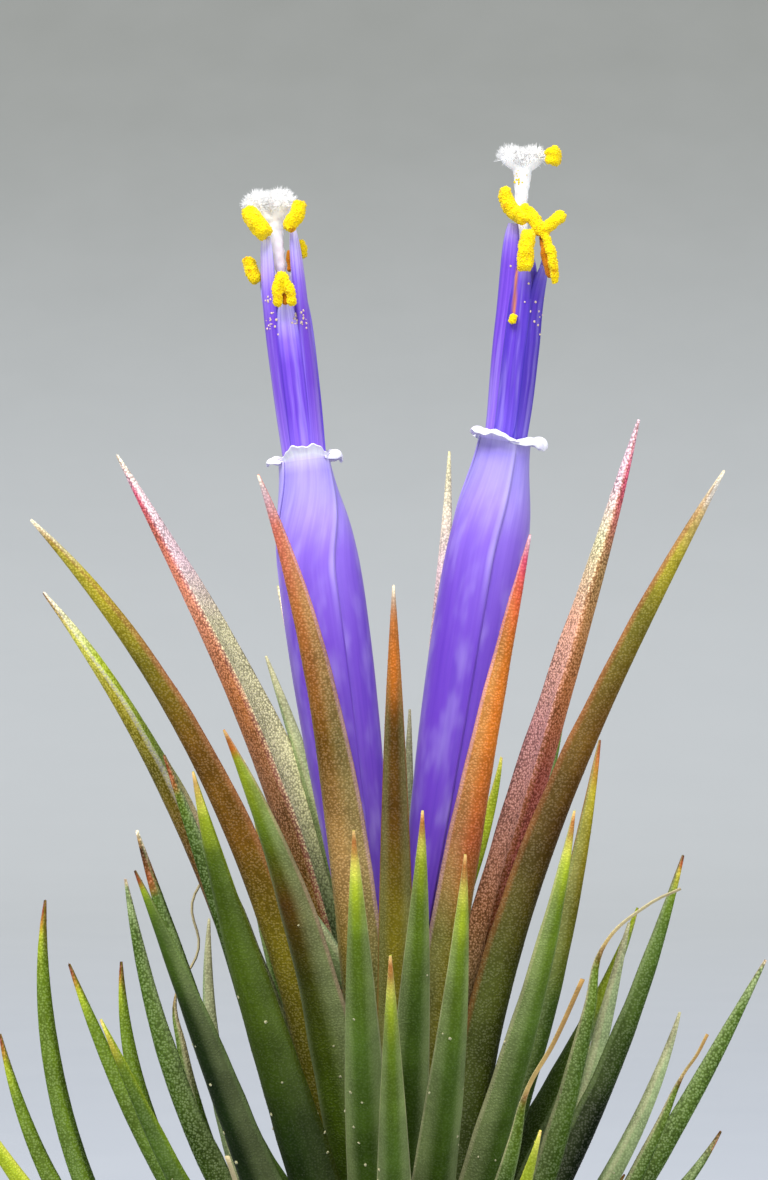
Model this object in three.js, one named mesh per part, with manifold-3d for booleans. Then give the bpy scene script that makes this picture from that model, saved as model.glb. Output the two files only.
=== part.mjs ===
// Sky plant in bloom: a small air plant with two violet flowers, picked and stood on a surface.
// Millimetres, +Z up, +X to the right and -Y towards the viewer.
// The origin is the centre of the flat underside of the trimmed stem.
import * as THREE from 'three';
import Module from 'manifold-3d';

const wasm = await Module();
wasm.setup();

// Clear space kept between neighbouring pieces
const GAP = 0.3;
const CUT_GAP = 0.4;

// Detail finer than this, left where two solids meet, is smoothed away
const FINEST_DETAIL = 0.025;

// Stem: radius at a height, from the trimmed foot to the crown
const STEM_PROFILE = [
  [3.8, 0], [4.6, 0.9], [5.9, 2.8], [6.8, 5.6], [7.0, 8.0], [6.7, 10.4],
  [5.9, 13.5], [4.9, 17.0], [3.9, 20.5], [3.0, 23.4], [1.9, 25.0],
];
const STEM_SIDES = 20;
const LEAF_SINK = 1.4;

// Heart: the short hub over the stem that carries the youngest leaves
const HEART_PROFILE = [
  [1.3, 25.4], [2.5, 25.8], [3.0, 27.0], [2.7, 28.6], [1.7, 29.4],
];
const HEART_SIDES = 14;
const HEART_SINK = 1.6;

// Leaf blade: stations along it, and how thickness and width die away towards the tip
const LEAF_STATIONS = 9;
const SHORT_LEAF_STATIONS = 8;
const SMALL_LEAF_STATIONS = 6;
const LONG_LEAF_HEIGHT = 48;
const LEAF_TIP_WIDTH = 0.34;
const LEAF_TIP_THICKNESS = 0.34;
const LEAF_THICKNESS = 1.45;
const LEAF_TAPER = 12;
const THICKNESS_TAPER = 7;
const LEAF_CHANNEL = 0.34;
const LEAF_EDGE = 0.46;
const DEEP_EDGE = 0.8;
const SHEATH_SHARE = 0.22;
const SHEATH_SPREAD = 0.12;
const LAUNCH_REACH = 0.36;
const TIP_REACH = 0.34;
const STRAW_WIDTH = 0.62;

// Leaves folded deeper than the rest: depth of the channel as a share of the width
const DEEP_CHANNELS = { inner_01: 0.52, inner_04: 0.46, inner_09: 0.46 };

// Across a leaf: outer face from margin to margin, then the inner face back
const OUTER_FACE = [-1, -0.62, 0, 0.62, 1];
const INNER_FACE = [1, 0, -1];

// Flower tube: radius at a distance below the mouth, and the depth of the mouth
const TUBE_PROFILE = [
  [1.54, 0.2], [1.62, 1.1], [1.95, 2.6], [2.25, 4.6], [2.4, 7.5],
  [2.38, 12.0], [2.2, 17.0], [1.85, 22.5], [1.4, 27.5], [1.2, 30.6],
];
const TUBE_SIDES = 21;
const PETAL_COUNT = 3;
const PETAL_LAP = 0.07;
const MOUTH_RADIUS = 1.12;
const MOUTH_DEPTH = 2.6;
const COLLAR_REACH = 2.2;
const COLLAR_RISE = 0.55;
const COLLAR_THICKNESS = 0.34;

// Stamens: six flat filaments round a core, and the pollen sacs on them
const FILAMENT_RING = 0.98;
const FILAMENT_WIDTH = 1.26;
const FILAMENT_THICKNESS = 0.66;
const FILAMENT_SIDES = 6;
const CORE_RADIUS = 0.6;
const STALK_RADIUS = 0.86;
const ANTHER_SIDES = 6;

// Style and stigma
const STYLE_RADIUS = 0.32;
const STYLE_SIDES = 6;
const LOBE_SINK = 0.3;
const LOBE_STAGGER = 0.07;

// Wiry roots at the foot
const ROOT_RADIUS = 0.42;
const ROOT_SIDES = 5;

// Leaves with a node each: name; tip place; height of the base on the stem; turn of the base
// from the tip's bearing; slope at the base and at the tip; width; turn of the blade; kind.
// Angles are in degrees.
const LEAVES = [
  // Tall inner leaves round the flowers
  ['inner_01', [-16.9, 5.0, 60.4], 20.5, -6, 87, 58, 4.7, -4, 'blush'],
  ['inner_02', [-8.1, -10.0, 58.9], 20.0, 12, 76, 58, 3.4, 0, 'blush'],
  ['inner_03', [7.4, -9.0, 55.5], 20.0, -12, 76, 70, 3.2, 0, 'blush'],
  ['inner_04', [14.1, 1.0, 62.4], 20.5, 6, 79, 74, 3.4, 16, 'blush'],
  ['inner_05', [3.0, 7.2, 60.7], 20.5, 14, 76, 86, 2.2, 0, 'blush'],
  ['inner_06', [-0.4, -11.0, 52.6], 17.5, 0, 74, 80, 2.7, 0, 'blush'],
  ['inner_07', [-21.3, -6.0, 56.4], 16.4, 12, 80, 44, 3.0, 6, 'blush'],
  ['inner_08', [18.6, -7.0, 59.2], 16.4, -8, 84, 58, 3.2, -6, 'blush'],
  ['inner_09', [-21.0, 0.5, 52.2], 15.0, -8, 74, 50, 3.3, -6, 'green'],
  ['inner_10', [10.4, 8.0, 49.3], 17.5, 4, 72, 78, 3.4, 0, 'green'],
  // Middle ring
  ['mid_01', [-13.5, -8.5, 42.9], 13.5, -6, 72, 66, 2.8, 0, 'green'],
  ['mid_02', [-9.9, -14.5, 44.5], 14.0, 4, 78, 50, 4.2, 0, 'green'],
  ['mid_03', [1.2, -17.0, 40.1], 14.0, -2, 66, 74, 3.3, 0, 'green'],
  ['mid_04', [11.5, -6.0, 43.7], 14.0, -4, 66, 80, 2.7, -10, 'green'],
  ['mid_05', [8.5, 16.0, 38.0], 14.0, 0, 68, 64, 4.0, 0, 'green'],
  ['mid_06', [-1.6, 18.0, 40.0], 14.0, 0, 68, 66, 4.0, 0, 'green'],
  ['mid_07', [-10.0, 14.5, 39.0], 14.0, 6, 68, 64, 4.0, 0, 'green'],
  ['mid_08', [-11.5, -18.0, 42.3], 10.5, -2, 66, 68, 4.2, 0, 'green'],
  ['mid_09', [-2.6, -21.0, 39.2], 10.5, -4, 62, 72, 3.5, 0, 'green'],
  ['mid_10', [3.5, -21.5, 37.9], 10.5, 2, 62, 76, 3.3, 0, 'green'],
  ['mid_11', [9.7, -15.0, 40.0], 11.0, 0, 68, 74, 3.2, 0, 'green'],
  ['mid_12', [16.6, -1.0, 36.8], 10.5, 2, 60, 74, 3.4, -30, 'green'],
  ['mid_13', [-15.2, -6.0, 38.5], 11.0, 2, 62, 72, 2.4, 10, 'green'],
  ['mid_14', [-16.1, -1.0, 35.4], 10.0, 0, 50, 80, 2.8, 30, 'green'],
  ['mid_15', [-11.5, 8.0, 32.5], 9.5, 6, 46, 94, 2.4, 0, 'green'],
  // Outer ring
  ['outer_01', [-14.9, -14.0, 36.6], 8.0, 0, 60, 60, 3.8, 8, 'green'],
  ['outer_02', [-0.6, -26.0, 32.7], 7.5, 0, 48, 62, 2.9, 0, 'green'],
  ['outer_03', [11.6, -8.0, 31.9], 8.5, -4, 58, 76, 2.9, -16, 'green'],
  ['outer_04', [13.7, 4.5, 32.5], 8.5, 2, 56, 74, 2.6, -30, 'green'],
  ['outer_05', [6.9, -18.5, 24.6], 7.5, 2, 48, 62, 2.9, 0, 'green'],
  ['outer_06', [21.4, -1.5, 30.7], 7.0, 0, 45, 62, 2.8, -36, 'green'],
  ['outer_07', [16.9, 7.5, 26.9], 7.0, 4, 45, 72, 2.4, -36, 'green'],
  ['outer_08', [16.4, -4.0, 24.2], 6.0, -4, 45, 66, 2.4, -30, 'green'],
  ['outer_09', [7.4, -28.0, 23.5], 5.5, 0, 32, 50, 2.6, 0, 'green'],
  ['outer_10', [-16.6, 4.0, 30.2], 7.5, 0, 38, 90, 2.0, 20, 'green'],
  ['outer_11', [-18.9, -9.0, 31.0], 7.5, 0, 42, 68, 2.4, 14, 'green'],
  ['outer_12', [-16.6, -18.0, 28.6], 5.5, 0, 36, 58, 2.6, 0, 'green'],
  ['outer_13', [-21.2, 5.0, 33.8], 4.8, 0, 2, 96, 1.8, 20, 'green'],
  ['outer_14', [-23.3, -3.0, 26.5], 5.2, 0, 10, 78, 2.2, 30, 'green'],
  ['outer_15', [-25.0, -12.0, 24.5], 5.0, 0, 20, 60, 2.4, 0, 'green'],
  ['outer_16', [-13.4, 4.6, 28.0], 9.0, 4, 48, 84, 2.0, 20, 'green'],
  ['outer_17', [-8.6, -22.5, 18.6], 6.5, 0, 30, 52, 2.4, 0, 'green'],
  ['outer_18', [24.5, -6.5, 19.4], 5.0, 0, 22, 60, 2.6, -30, 'green'],
  ['outer_19', [-14.5, 12.0, 25.0], 6.5, 0, 40, 62, 3.0, 0, 'green'],
  ['outer_20', [3.0, 20.5, 28.0], 8.0, 4, 50, 60, 3.4, 0, 'green'],
];

// Withered thread at the end of some leaves: places it passes beyond the blade
const STRAW_TIPS = {
  outer_03: [[14.2, -8.6, 34.4], [16.0, -8.8, 35.3]],
  outer_05: [[8.4, -20.4, 27.6], [9.9, -21.6, 31.1]],
  outer_08: [[17.2, -4.3, 25.4], [17.8, -4.4, 26.6]],
  outer_16: [[-12.0, 4.4, 31.0], [-12.4, 4.4, 33.6], [-11.7, 4.4, 35.2]],
  outer_17: [[-9.0, -24.0, 20.4], [-9.4, -25.0, 21.8]],
};

// Youngest leaves, grown together at the heart
const HEART_LEAVES = [
  ['heart_1', [-7.4, 10.0, 52.6], 27.0, 0, 78, 66, 2.8, 0],
  ['heart_2', [-8.0, 5.0, 48.4], 27.0, 10, 76, 66, 2.2, 0],
  ['heart_3', [0.6, 5.5, 45.2], 27.4, 0, 78, 82, 2.2, 0],
  ['heart_4', [5.9, -3.0, 42.6], 27.0, -10, 72, 80, 2.2, 0],
  ['heart_5', [-11.7, -4.0, 42.5], 26.6, 0, 60, 58, 2.2, 0],
];

// Leaves at the back of the clump and the oldest ones, grown together with the stem
const OLD_LEAVES = [
  ['back_1', [14.5, 10.5, 33.0], 12.0, 0, 62, 66, 3.6, 0],
  ['back_2', [-0.6, 12.5, 43.0], 16.0, 0, 70, 76, 3.2, 0],
  ['back_3', [-4.4, 15.5, 33.5], 11.0, 0, 64, 68, 3.6, 0],
  ['back_4', [-9.5, 10.5, 42.0], 15.5, 6, 70, 66, 3.2, 0],
  ['back_5', [12.0, 17.0, 25.0], 9.0, 0, 50, 60, 3.4, 0],
  ['back_6', [-11.5, 19.0, 24.0], 8.0, 0, 48, 58, 3.4, 0],
  ['back_7', [19.5, 9.5, 19.5], 6.5, 0, 36, 56, 3.0, 0],
  ['husk_1', [8.2, 3.4, 8.6], 2.2, 0, 50, 88, 5.0, 0],
  ['husk_2', [2.6, 8.6, 7.8], 2.2, 0, 50, 88, 5.0, 0],
  ['husk_3', [-5.4, 7.2, 8.8], 2.2, 0, 50, 88, 5.0, 0],
  ['husk_4', [-8.9, 0.4, 7.6], 2.2, 0, 50, 88, 5.0, 0],
  ['husk_5', [-5.6, -7.0, 8.4], 2.2, 0, 50, 88, 5.0, 0],
  ['husk_6', [2.4, -8.7, 7.8], 2.2, 0, 50, 88, 5.0, 0],
  ['husk_7', [7.6, -4.6, 8.2], 2.2, 0, 50, 88, 5.0, 0],
  ['old_1', [14.0, 17.0, 16.0], 5.5, 0, 32, 40, 3.4, 0],
  ['old_2', [-5.0, 22.0, 17.0], 5.5, 0, 34, 44, 3.4, 0],
  ['old_3', [24.5, 7.0, 9.0], 4.0, 0, 18, 20, 3.2, 0],
  ['old_4', [16.5, -19.0, 10.0], 4.0, 0, 18, 24, 3.2, 0],
  ['old_5', [0.5, -26.0, 7.5], 3.8, 0, 16, 10, 3.2, 0],
  ['old_6', [-17.0, -19.0, 8.0], 3.8, 0, 16, 14, 3.2, 0],
  ['old_7', [-24.5, 6.0, 8.5], 4.0, 0, 18, 20, 3.2, 0],
  ['old_8', [-14.0, 20.0, 6.0], 3.8, 0, 16, 6, 3.2, 0],
  ['old_9', [6.0, 25.0, 6.5], 3.8, 0, 16, 8, 3.2, 0],
];

// Wiry roots: bearing in degrees and length along the ground
const ROOTS = [[18, 9.5], [95, 8.0], [160, 10.0], [232, 8.5], [304, 9.0]];

// The two flowers. Foot and mouth of the tube, top of the stamens' core; then the filaments'
// tips, the style's points and the stigma's lobes, front ones having the smaller y.
const FLOWERS = [
  {
    side: 'left',
    foot: [-1.5, -1.5, 29.8],
    mouth: [-5.6, -0.6, 59.9],
    crown: [-6.75, -0.7, 69.4],
    lap: 90,
    filaments: [
      [-7.95, -1.4, 72.5], [-6.75, -1.85, 69.2], [-6.25, -0.9, 73.8],
      [-6.4, 0.6, 71.0], [-7.3, 0.9, 71.2], [-8.1, 0.1, 70.6],
    ],
    style: [[-6.95, -0.5, 70.6], [-7.15, -0.35, 73.0], [-7.45, -0.35, 74.5]],
    lobes: [[-8.7, -0.8, 75.5], [-6.75, -0.75, 75.7], [-7.7, 0.7, 75.1]],
    lobeRadius: 0.6,
  },
  {
    side: 'right',
    foot: [1.0, 1.6, 29.8],
    mouth: [6.2, 0.6, 61.1],
    crown: [7.3, 0.4, 70.6],
    lap: 50,
    filaments: [
      [7.3, -0.85, 71.2], [8.4, -0.75, 70.9], [8.6, 0.4, 72.2],
      [7.75, 1.5, 72.0], [6.7, 1.45, 72.4], [6.5, -0.1, 73.0],
    ],
    style: [[7.25, 0.45, 71.6], [7.1, 0.4, 74.5], [7.15, 0.4, 76.2]],
    lobes: [[6.15, 0.0, 78.0], [8.1, 0.0, 77.9], [7.15, 1.4, 77.9]],
    lobeRadius: 0.48,
  },
];

// Pollen sacs, each a radius and the points along it. Those of one node touch and are one body.
const ANTHERS = {
  anther_left_1: [[0.56, [-9.3, -1.6, 74.2], [-8.5, -2.1, 73.5], [-7.9, -2.4, 73.2]]],
  anther_left_2: [[0.45, [-5.8, -1.9, 75.2], [-5.8, -1.9, 74.3], [-6.3, -2.0, 73.3]]],
  anther_left_3: [[0.46, [-9.0, 0.3, 71.8], [-8.95, 0.3, 71.1], [-8.75, 0.2, 70.3]]],
  anther_left_4: [
    [0.46, [-7.0, -2.8, 70.9], [-6.96, -2.85, 70.0], [-7.2, -2.7, 68.7]],
    [0.42, [-7.0, -2.8, 70.9], [-6.6, -2.8, 70.0], [-6.25, -2.6, 68.8]],
  ],
  anther_left_5: [[0.4, [-5.75, 0.9, 73.2], [-5.6, 0.95, 72.5], [-5.5, 1.0, 71.8]]],
  anthers_right: [
    [0.52, [6.1, -1.2, 75.9], [6.5, -1.4, 74.8], [7.5, -1.6, 73.6]],
    [0.52, [7.3, -1.4, 74.7], [7.8, -1.5, 74.0], [8.4, -1.6, 73.1]],
    [0.48, [9.6, -1.3, 74.3], [9.0, -1.5, 73.8], [8.4, -1.6, 73.2]],
    [0.58, [7.5, -1.7, 73.6], [7.45, -2.1, 72.2], [7.35, -2.0, 71.0]],
    [0.42, [8.4, -1.6, 73.4], [8.95, -2.0, 71.8], [9.05, -1.7, 70.3]],
  ],
  anther_right_top: [[0.46, [8.8, -0.8, 78.3], [9.0, -0.8, 77.9], [8.9, -0.8, 77.3]]],
};

// Materials, one for each colour of the plant
const FINISHES = {
  green: { color: 0x5f7a3a, roughness: 0.62, metalness: 0 },
  blush: { color: 0xb0603f, roughness: 0.6, metalness: 0 },
  heart: { color: 0x8c9a4e, roughness: 0.62, metalness: 0 },
  husk: { color: 0x8a6a42, roughness: 0.85, metalness: 0 },
  petal: { color: 0x7a5be0, roughness: 0.5, metalness: 0 },
  filament: { color: 0x6a45d8, roughness: 0.45, metalness: 0 },
  pollen: { color: 0xf2c400, roughness: 0.9, metalness: 0 },
  stigma: { color: 0xf4f2f2, roughness: 0.7, metalness: 0 },
};

const UP = new THREE.Vector3(0, 0, 1);
const SIDEWAYS = new THREE.Vector3(1, 0, 0);

// A rod that rises more steeply than this takes its sides from the x axis
const STEEP = 0.7;

function vec(list) {
  return new THREE.Vector3(list[0], list[1], list[2]);
}

function radians(degrees) {
  return degrees * Math.PI / 180;
}

// Closed solids from rings of points
function signedVolume(points, triangles) {
  let six = 0;
  for (let i = 0; i < triangles.length; i += 3) {
    const a = points[triangles[i]];
    const b = points[triangles[i + 1]];
    const c = points[triangles[i + 2]];
    six += a.dot(b.clone().cross(c));
  }
  return six / 6;
}

function solidFrom(points, triangles) {
  if (signedVolume(points, triangles) < 0) {
    for (let i = 0; i < triangles.length; i += 3) {
      const swap = triangles[i];
      triangles[i] = triangles[i + 1];
      triangles[i + 1] = swap;
    }
  }
  const vertProperties = new Float32Array(points.length * 3);
  points.forEach((point, i) => point.toArray(vertProperties, i * 3));
  const triVerts = new Uint32Array(triangles);
  return new wasm.Manifold(new wasm.Mesh({ numProp: 3, vertProperties, triVerts }));
}

function skin(rings) {
  const count = rings[0].length;
  const points = rings.flat();
  const triangles = [];
  for (let ring = 0; ring + 1 < rings.length; ring += 1) {
    for (let k = 0; k < count; k += 1) {
      const a = ring * count + k;
      const b = ring * count + (k + 1) % count;
      triangles.push(a, b, b + count, a, b + count, a + count);
    }
  }
  for (const end of [0, rings.length - 1]) {
    const centre = new THREE.Vector3();
    rings[end].forEach((point) => centre.add(point));
    points.push(centre.divideScalar(count));
    for (let k = 0; k < count; k += 1) {
      const a = end * count + k;
      const b = end * count + (k + 1) % count;
      if (end === 0) {
        triangles.push(points.length - 1, b, a);
      } else {
        triangles.push(points.length - 1, a, b);
      }
    }
  }
  return solidFrom(points, triangles);
}

function turned(profile, sides, grow = 0) {
  const rings = profile.map(([radius, height]) => {
    const ring = [];
    for (let k = 0; k < sides; k += 1) {
      const angle = k / sides * 2 * Math.PI;
      ring.push(new THREE.Vector3(
        (radius + grow) * Math.cos(angle), (radius + grow) * Math.sin(angle), height,
      ));
    }
    return ring;
  });
  rings[0].forEach((point) => { point.z -= grow; });
  rings[rings.length - 1].forEach((point) => { point.z += grow; });
  return skin(rings);
}

function largest(solid) {
  const bodies = solid.decompose();
  bodies.sort((a, b) => b.volume() - a.volume());
  return bodies[0];
}

function joined(solids) {
  return solids.reduce((whole, next) => whole.add(next));
}

// A round or oval rod along a smooth line through points
function rod(points, radii, sides, flatness = 1, across = null) {
  const line = new THREE.CatmullRomCurve3(points.map(vec), false, 'centripetal');
  const reach = vec(points[points.length - 1]).sub(vec(points[0])).normalize();
  const guide = across ?? (Math.abs(reach.z) > STEEP ? SIDEWAYS : UP);
  const rings = radii.map((radius, i) => {
    const share = i / (radii.length - 1);
    const centre = line.getPointAt(share);
    const along = line.getTangentAt(share);
    const wide = guide.clone().addScaledVector(along, -guide.dot(along)).normalize();
    const deep = along.clone().cross(wide);
    const ring = [];
    for (let k = 0; k < sides; k += 1) {
      const angle = k / sides * 2 * Math.PI;
      ring.push(centre.clone()
        .addScaledVector(wide, radius * Math.cos(angle))
        .addScaledVector(deep, radius * flatness * Math.sin(angle)));
    }
    return ring;
  });
  return skin(rings);
}

// Leaves
function profileRadius(profile, height) {
  for (let i = 0; i + 1 < profile.length; i += 1) {
    const [r0, z0] = profile[i];
    const [r1, z1] = profile[i + 1];
    if (height <= z1) {
      return r0 + (r1 - r0) * Math.max(0, (height - z0) / (z1 - z0));
    }
  }
  return profile[profile.length - 1][0];
}

function leafRow([name, tip, base, turn, launch, lean, width, twist]) {
  const straw = STRAW_TIPS[name];
  const channel = DEEP_CHANNELS[name] ?? LEAF_CHANNEL;
  const edge = name in DEEP_CHANNELS ? DEEP_EDGE : LEAF_EDGE;
  return { tip, base, turn, launch, lean, width, twist, straw, channel, edge };
}

function leafLine(row, profile, sink) {
  const tip = vec(row.tip);
  const tipBearing = Math.atan2(tip.y, tip.x);
  const baseBearing = tipBearing + radians(row.turn);
  const outAtTip = new THREE.Vector3(Math.cos(tipBearing), Math.sin(tipBearing), 0);
  const outAtBase = new THREE.Vector3(Math.cos(baseBearing), Math.sin(baseBearing), 0);
  const base = outAtBase.clone().multiplyScalar(profileRadius(profile, row.base) - sink);
  base.z = row.base;
  const span = base.distanceTo(tip);
  const launch = radians(row.launch);
  const lean = radians(row.lean);
  const first = base.clone()
    .addScaledVector(outAtBase, span * LAUNCH_REACH * Math.cos(launch))
    .addScaledVector(UP, span * LAUNCH_REACH * Math.sin(launch));
  const second = tip.clone()
    .addScaledVector(outAtTip, -span * TIP_REACH * Math.cos(lean))
    .addScaledVector(UP, -span * TIP_REACH * Math.sin(lean));
  const blade = new THREE.CubicBezierCurve3(base, first, second, tip);
  if (!row.straw) {
    return { line: blade, bladeShare: 1, baseBearing, tipBearing };
  }
  const points = blade.getSpacedPoints(7).concat(row.straw.map(vec));
  const line = new THREE.CatmullRomCurve3(points, false, 'centripetal');
  return { line, bladeShare: blade.getLength() / line.getLength(), baseBearing, tipBearing };
}

function leafStations(row) {
  return row.tip[2] > LONG_LEAF_HEIGHT ? LEAF_STATIONS : SHORT_LEAF_STATIONS;
}

function leafSolid(row, profile, sink, grow = 0, count = leafStations(row)) {
  const { line, bladeShare, baseBearing, tipBearing } = leafLine(row, profile, sink);
  const length = line.getLength();
  const stations = count + (row.straw ? 2 : 0);
  const rings = [];
  for (let i = 0; i < stations; i += 1) {
    const share = i / (stations - 1);
    const centre = line.getPointAt(share);
    const along = line.getTangentAt(share);
    if (i === stations - 1) {
      centre.addScaledVector(along, grow);
    }
    const bearing = baseBearing + (tipBearing - baseBearing) * share + radians(row.twist);
    const side = new THREE.Vector3(-Math.sin(bearing), Math.cos(bearing), 0);
    const wide = side.addScaledVector(along, -side.dot(along)).normalize();
    const inward = along.clone().cross(wide);
    const toTip = Math.max(0, (bladeShare - share) * length);
    const full = 1 - Math.exp(-toTip / LEAF_TAPER);
    const sheath = 1 + SHEATH_SPREAD * Math.max(0, 1 - share / SHEATH_SHARE);
    const least = row.straw ? STRAW_WIDTH : LEAF_TIP_WIDTH;
    const half = (least + (row.width - least) * full) * sheath / 2;
    const swell = 1 - Math.exp(-toTip / THICKNESS_TAPER);
    const thick = LEAF_TIP_THICKNESS + (LEAF_THICKNESS - LEAF_TIP_THICKNESS) * swell;
    const channel = row.channel * 2 * half * full;
    const place = (s, face) => {
      const depth = thick / 2 * (1 - (1 - row.edge) * s * s) + grow;
      const rise = channel * (s * s - 0.5) + face * depth;
      return centre.clone()
        .addScaledVector(wide, s * (half + grow))
        .addScaledVector(inward, rise);
    };
    rings.push([
      ...OUTER_FACE.map((s) => place(s, -1)),
      ...INNER_FACE.map((s) => place(s, 1)),
    ]);
  }
  return skin(rings);
}

function near(a, b) {
  const one = a.boundingBox();
  const two = b.boundingBox();
  return [0, 1, 2].every((axis) => one.min[axis] < two.max[axis] && two.min[axis] < one.max[axis]);
}

function clearOf(solid, others) {
  let rest = solid;
  for (const other of others) {
    if (near(rest, other)) {
      rest = rest.subtract(other);
    }
  }
  return largest(rest);
}

// Stem with its wiry roots and the old dry leaves
function stemSolid(grow = 0) {
  const pieces = [turned(STEM_PROFILE, STEM_SIDES, grow)];
  for (const row of OLD_LEAVES.map(leafRow)) {
    pieces.push(leafSolid(row, STEM_PROFILE, LEAF_SINK, grow, SMALL_LEAF_STATIONS));
  }
  return joined(pieces);
}

function rootSolid([bearing, length]) {
  const angle = radians(bearing);
  const out = (distance, height, drift) => [
    distance * Math.cos(angle + drift), distance * Math.sin(angle + drift), height,
  ];
  const points = [
    out(3.6, 2.4, 0), out(6.2, 1.5, 0.05), out(3.6 + length * 0.6, 0.6, 0.2), out(3.6 + length, 0.55, 0.1),
  ];
  const radii = [1, 1, 0.9, 0.8, 0.7].map((share) => share * ROOT_RADIUS);
  return rod(points, radii, ROOT_SIDES);
}

// Heart
function heartSolid(grow = 0) {
  const pieces = [turned(HEART_PROFILE, HEART_SIDES, grow)];
  for (const row of HEART_LEAVES.map(leafRow)) {
    pieces.push(leafSolid(row, HEART_PROFILE, HEART_SINK, grow, SMALL_LEAF_STATIONS));
  }
  return joined(pieces);
}

// Flower tube: three petals rolled round one another, with turned back tips
function petalAngle(flower, angle) {
  const turn = (angle - radians(flower.lap)) / (2 * Math.PI) * PETAL_COUNT;
  return turn - Math.floor(turn);
}

function tubeSolid(flower, grow = 0) {
  const foot = vec(flower.foot);
  const mouth = vec(flower.mouth);
  const axis = mouth.clone().sub(foot).normalize();
  const length = mouth.distanceTo(foot);
  const right = new THREE.Vector3(1, 0, 0).addScaledVector(axis, -axis.x).normalize();
  const back = axis.clone().cross(right);
  const ringAt = (height, radiusAt, liftAt = () => 0) => {
    const ring = [];
    for (let k = 0; k < TUBE_SIDES; k += 1) {
      const angle = k / TUBE_SIDES * 2 * Math.PI;
      const share = petalAngle(flower, angle);
      const radius = radiusAt(share);
      ring.push(foot.clone()
        .addScaledVector(axis, height + liftAt(share))
        .addScaledVector(right, radius * Math.cos(angle))
        .addScaledVector(back, radius * Math.sin(angle)));
    }
    return ring;
  };
  const lobe = (share) => Math.sin(Math.PI * share) ** 0.8;
  const lapped = (radius) => (share) => radius + grow + PETAL_LAP * (2 * share - 1);
  const deepest = TUBE_PROFILE[TUBE_PROFILE.length - 1][1];
  const rings = TUBE_PROFILE.slice().reverse().map(([radius, below]) => (
    ringAt(length * (1 - below / deepest) - grow * (below === deepest ? 1 : 0), lapped(radius))
  ));
  const flare = COLLAR_REACH - TUBE_PROFILE[0][0];
  rings.push(ringAt(
    length,
    (share) => TUBE_PROFILE[0][0] + grow + flare * (0.25 + 0.75 * lobe(share)),
    (share) => 0.1 * lobe(share),
  ));
  rings.push(ringAt(
    length,
    (share) => TUBE_PROFILE[0][0] + grow + flare * (0.2 + 0.72 * lobe(share)),
    (share) => COLLAR_THICKNESS + 0.1 * lobe(share) + grow,
  ));
  if (grow > 0) {
    return skin(rings);
  }
  rings.push(ringAt(length, () => MOUTH_RADIUS + 0.12, () => COLLAR_RISE));
  rings.push(ringAt(length, () => MOUTH_RADIUS, () => COLLAR_RISE - 0.3));
  rings.push(ringAt(length - MOUTH_DEPTH, () => MOUTH_RADIUS));
  return skin(rings);
}

// Stamens: the filaments stand packed round a core and come free at their tips
function stamenSolid(flower) {
  const foot = vec(flower.foot);
  const mouth = vec(flower.mouth);
  const crown = vec(flower.crown);
  const axis = mouth.clone().sub(foot).normalize();
  const start = mouth.clone().addScaledVector(axis, -MOUTH_DEPTH + GAP);
  const above = mouth.clone().addScaledVector(axis, COLLAR_RISE + GAP);
  const swell = above.clone().lerp(crown, 0.1);
  const stalk = rod(
    [start.toArray(), above.toArray(), swell.toArray()],
    [STALK_RADIUS, STALK_RADIUS, STALK_RADIUS, STALK_RADIUS],
    FILAMENT_SIDES,
  );
  const core = rod([above.toArray(), crown.toArray()], [CORE_RADIUS, CORE_RADIUS, 0.45], FILAMENT_SIDES);
  const pieces = [stalk, core];
  const shares = [0.9, 1, 1, 0.9, 0.55];
  flower.filaments.forEach((tip) => {
    const end = vec(tip);
    const angle = Math.atan2(end.y - crown.y, end.x - crown.x);
    const outward = new THREE.Vector3(Math.cos(angle), Math.sin(angle), 0);
    const side = new THREE.Vector3(-Math.sin(angle), Math.cos(angle), 0);
    const low = above.clone().addScaledVector(outward, FILAMENT_RING);
    const high = crown.clone().addScaledVector(outward, FILAMENT_RING + 0.06);
    const middle = low.clone().lerp(high, 0.5);
    pieces.push(rod(
      [low.toArray(), middle.toArray(), high.clone().lerp(middle, 0.25).toArray(), tip],
      shares.map((share) => share * FILAMENT_WIDTH / 2),
      FILAMENT_SIDES,
      FILAMENT_THICKNESS / FILAMENT_WIDTH,
      side,
    ));
  });
  return largest(joined(pieces));
}

// Style and the three lobed stigma
function pistilSolid(flower) {
  const radii = [0.85, 1, 1, 1.1, 1.6].map((share) => share * STYLE_RADIUS);
  const top = flower.style[flower.style.length - 1];
  const pieces = [rod(flower.style, radii, STYLE_SIDES)];
  flower.lobes.forEach((lobe, i) => {
    const start = vec(top).lerp(vec(lobe), 0.12);
    start.z = top[2] - LOBE_SINK - LOBE_STAGGER * i;
    const middle = vec(top).lerp(vec(lobe), 0.55);
    middle.z -= 0.1;
    pieces.push(rod(
      [start.toArray(), middle.toArray(), lobe],
      [0.5, 0.75, 1, 1, 0.62].map((share) => share * flower.lobeRadius),
      STYLE_SIDES,
    ));
  });
  return joined(pieces);
}

function antherSolid(sacs) {
  const shares = [0.55, 0.95, 1, 0.9, 0.98, 0.6];
  return joined(sacs.map(([radius, ...points]) => (
    rod(points, shares.map((share) => share * radius), ANTHER_SIDES)
  )));
}

// Meshes
const finishes = Object.fromEntries(Object.entries(FINISHES).map(([name, values]) => (
  [name, new THREE.MeshStandardMaterial({ name, ...values })]
)));

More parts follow.
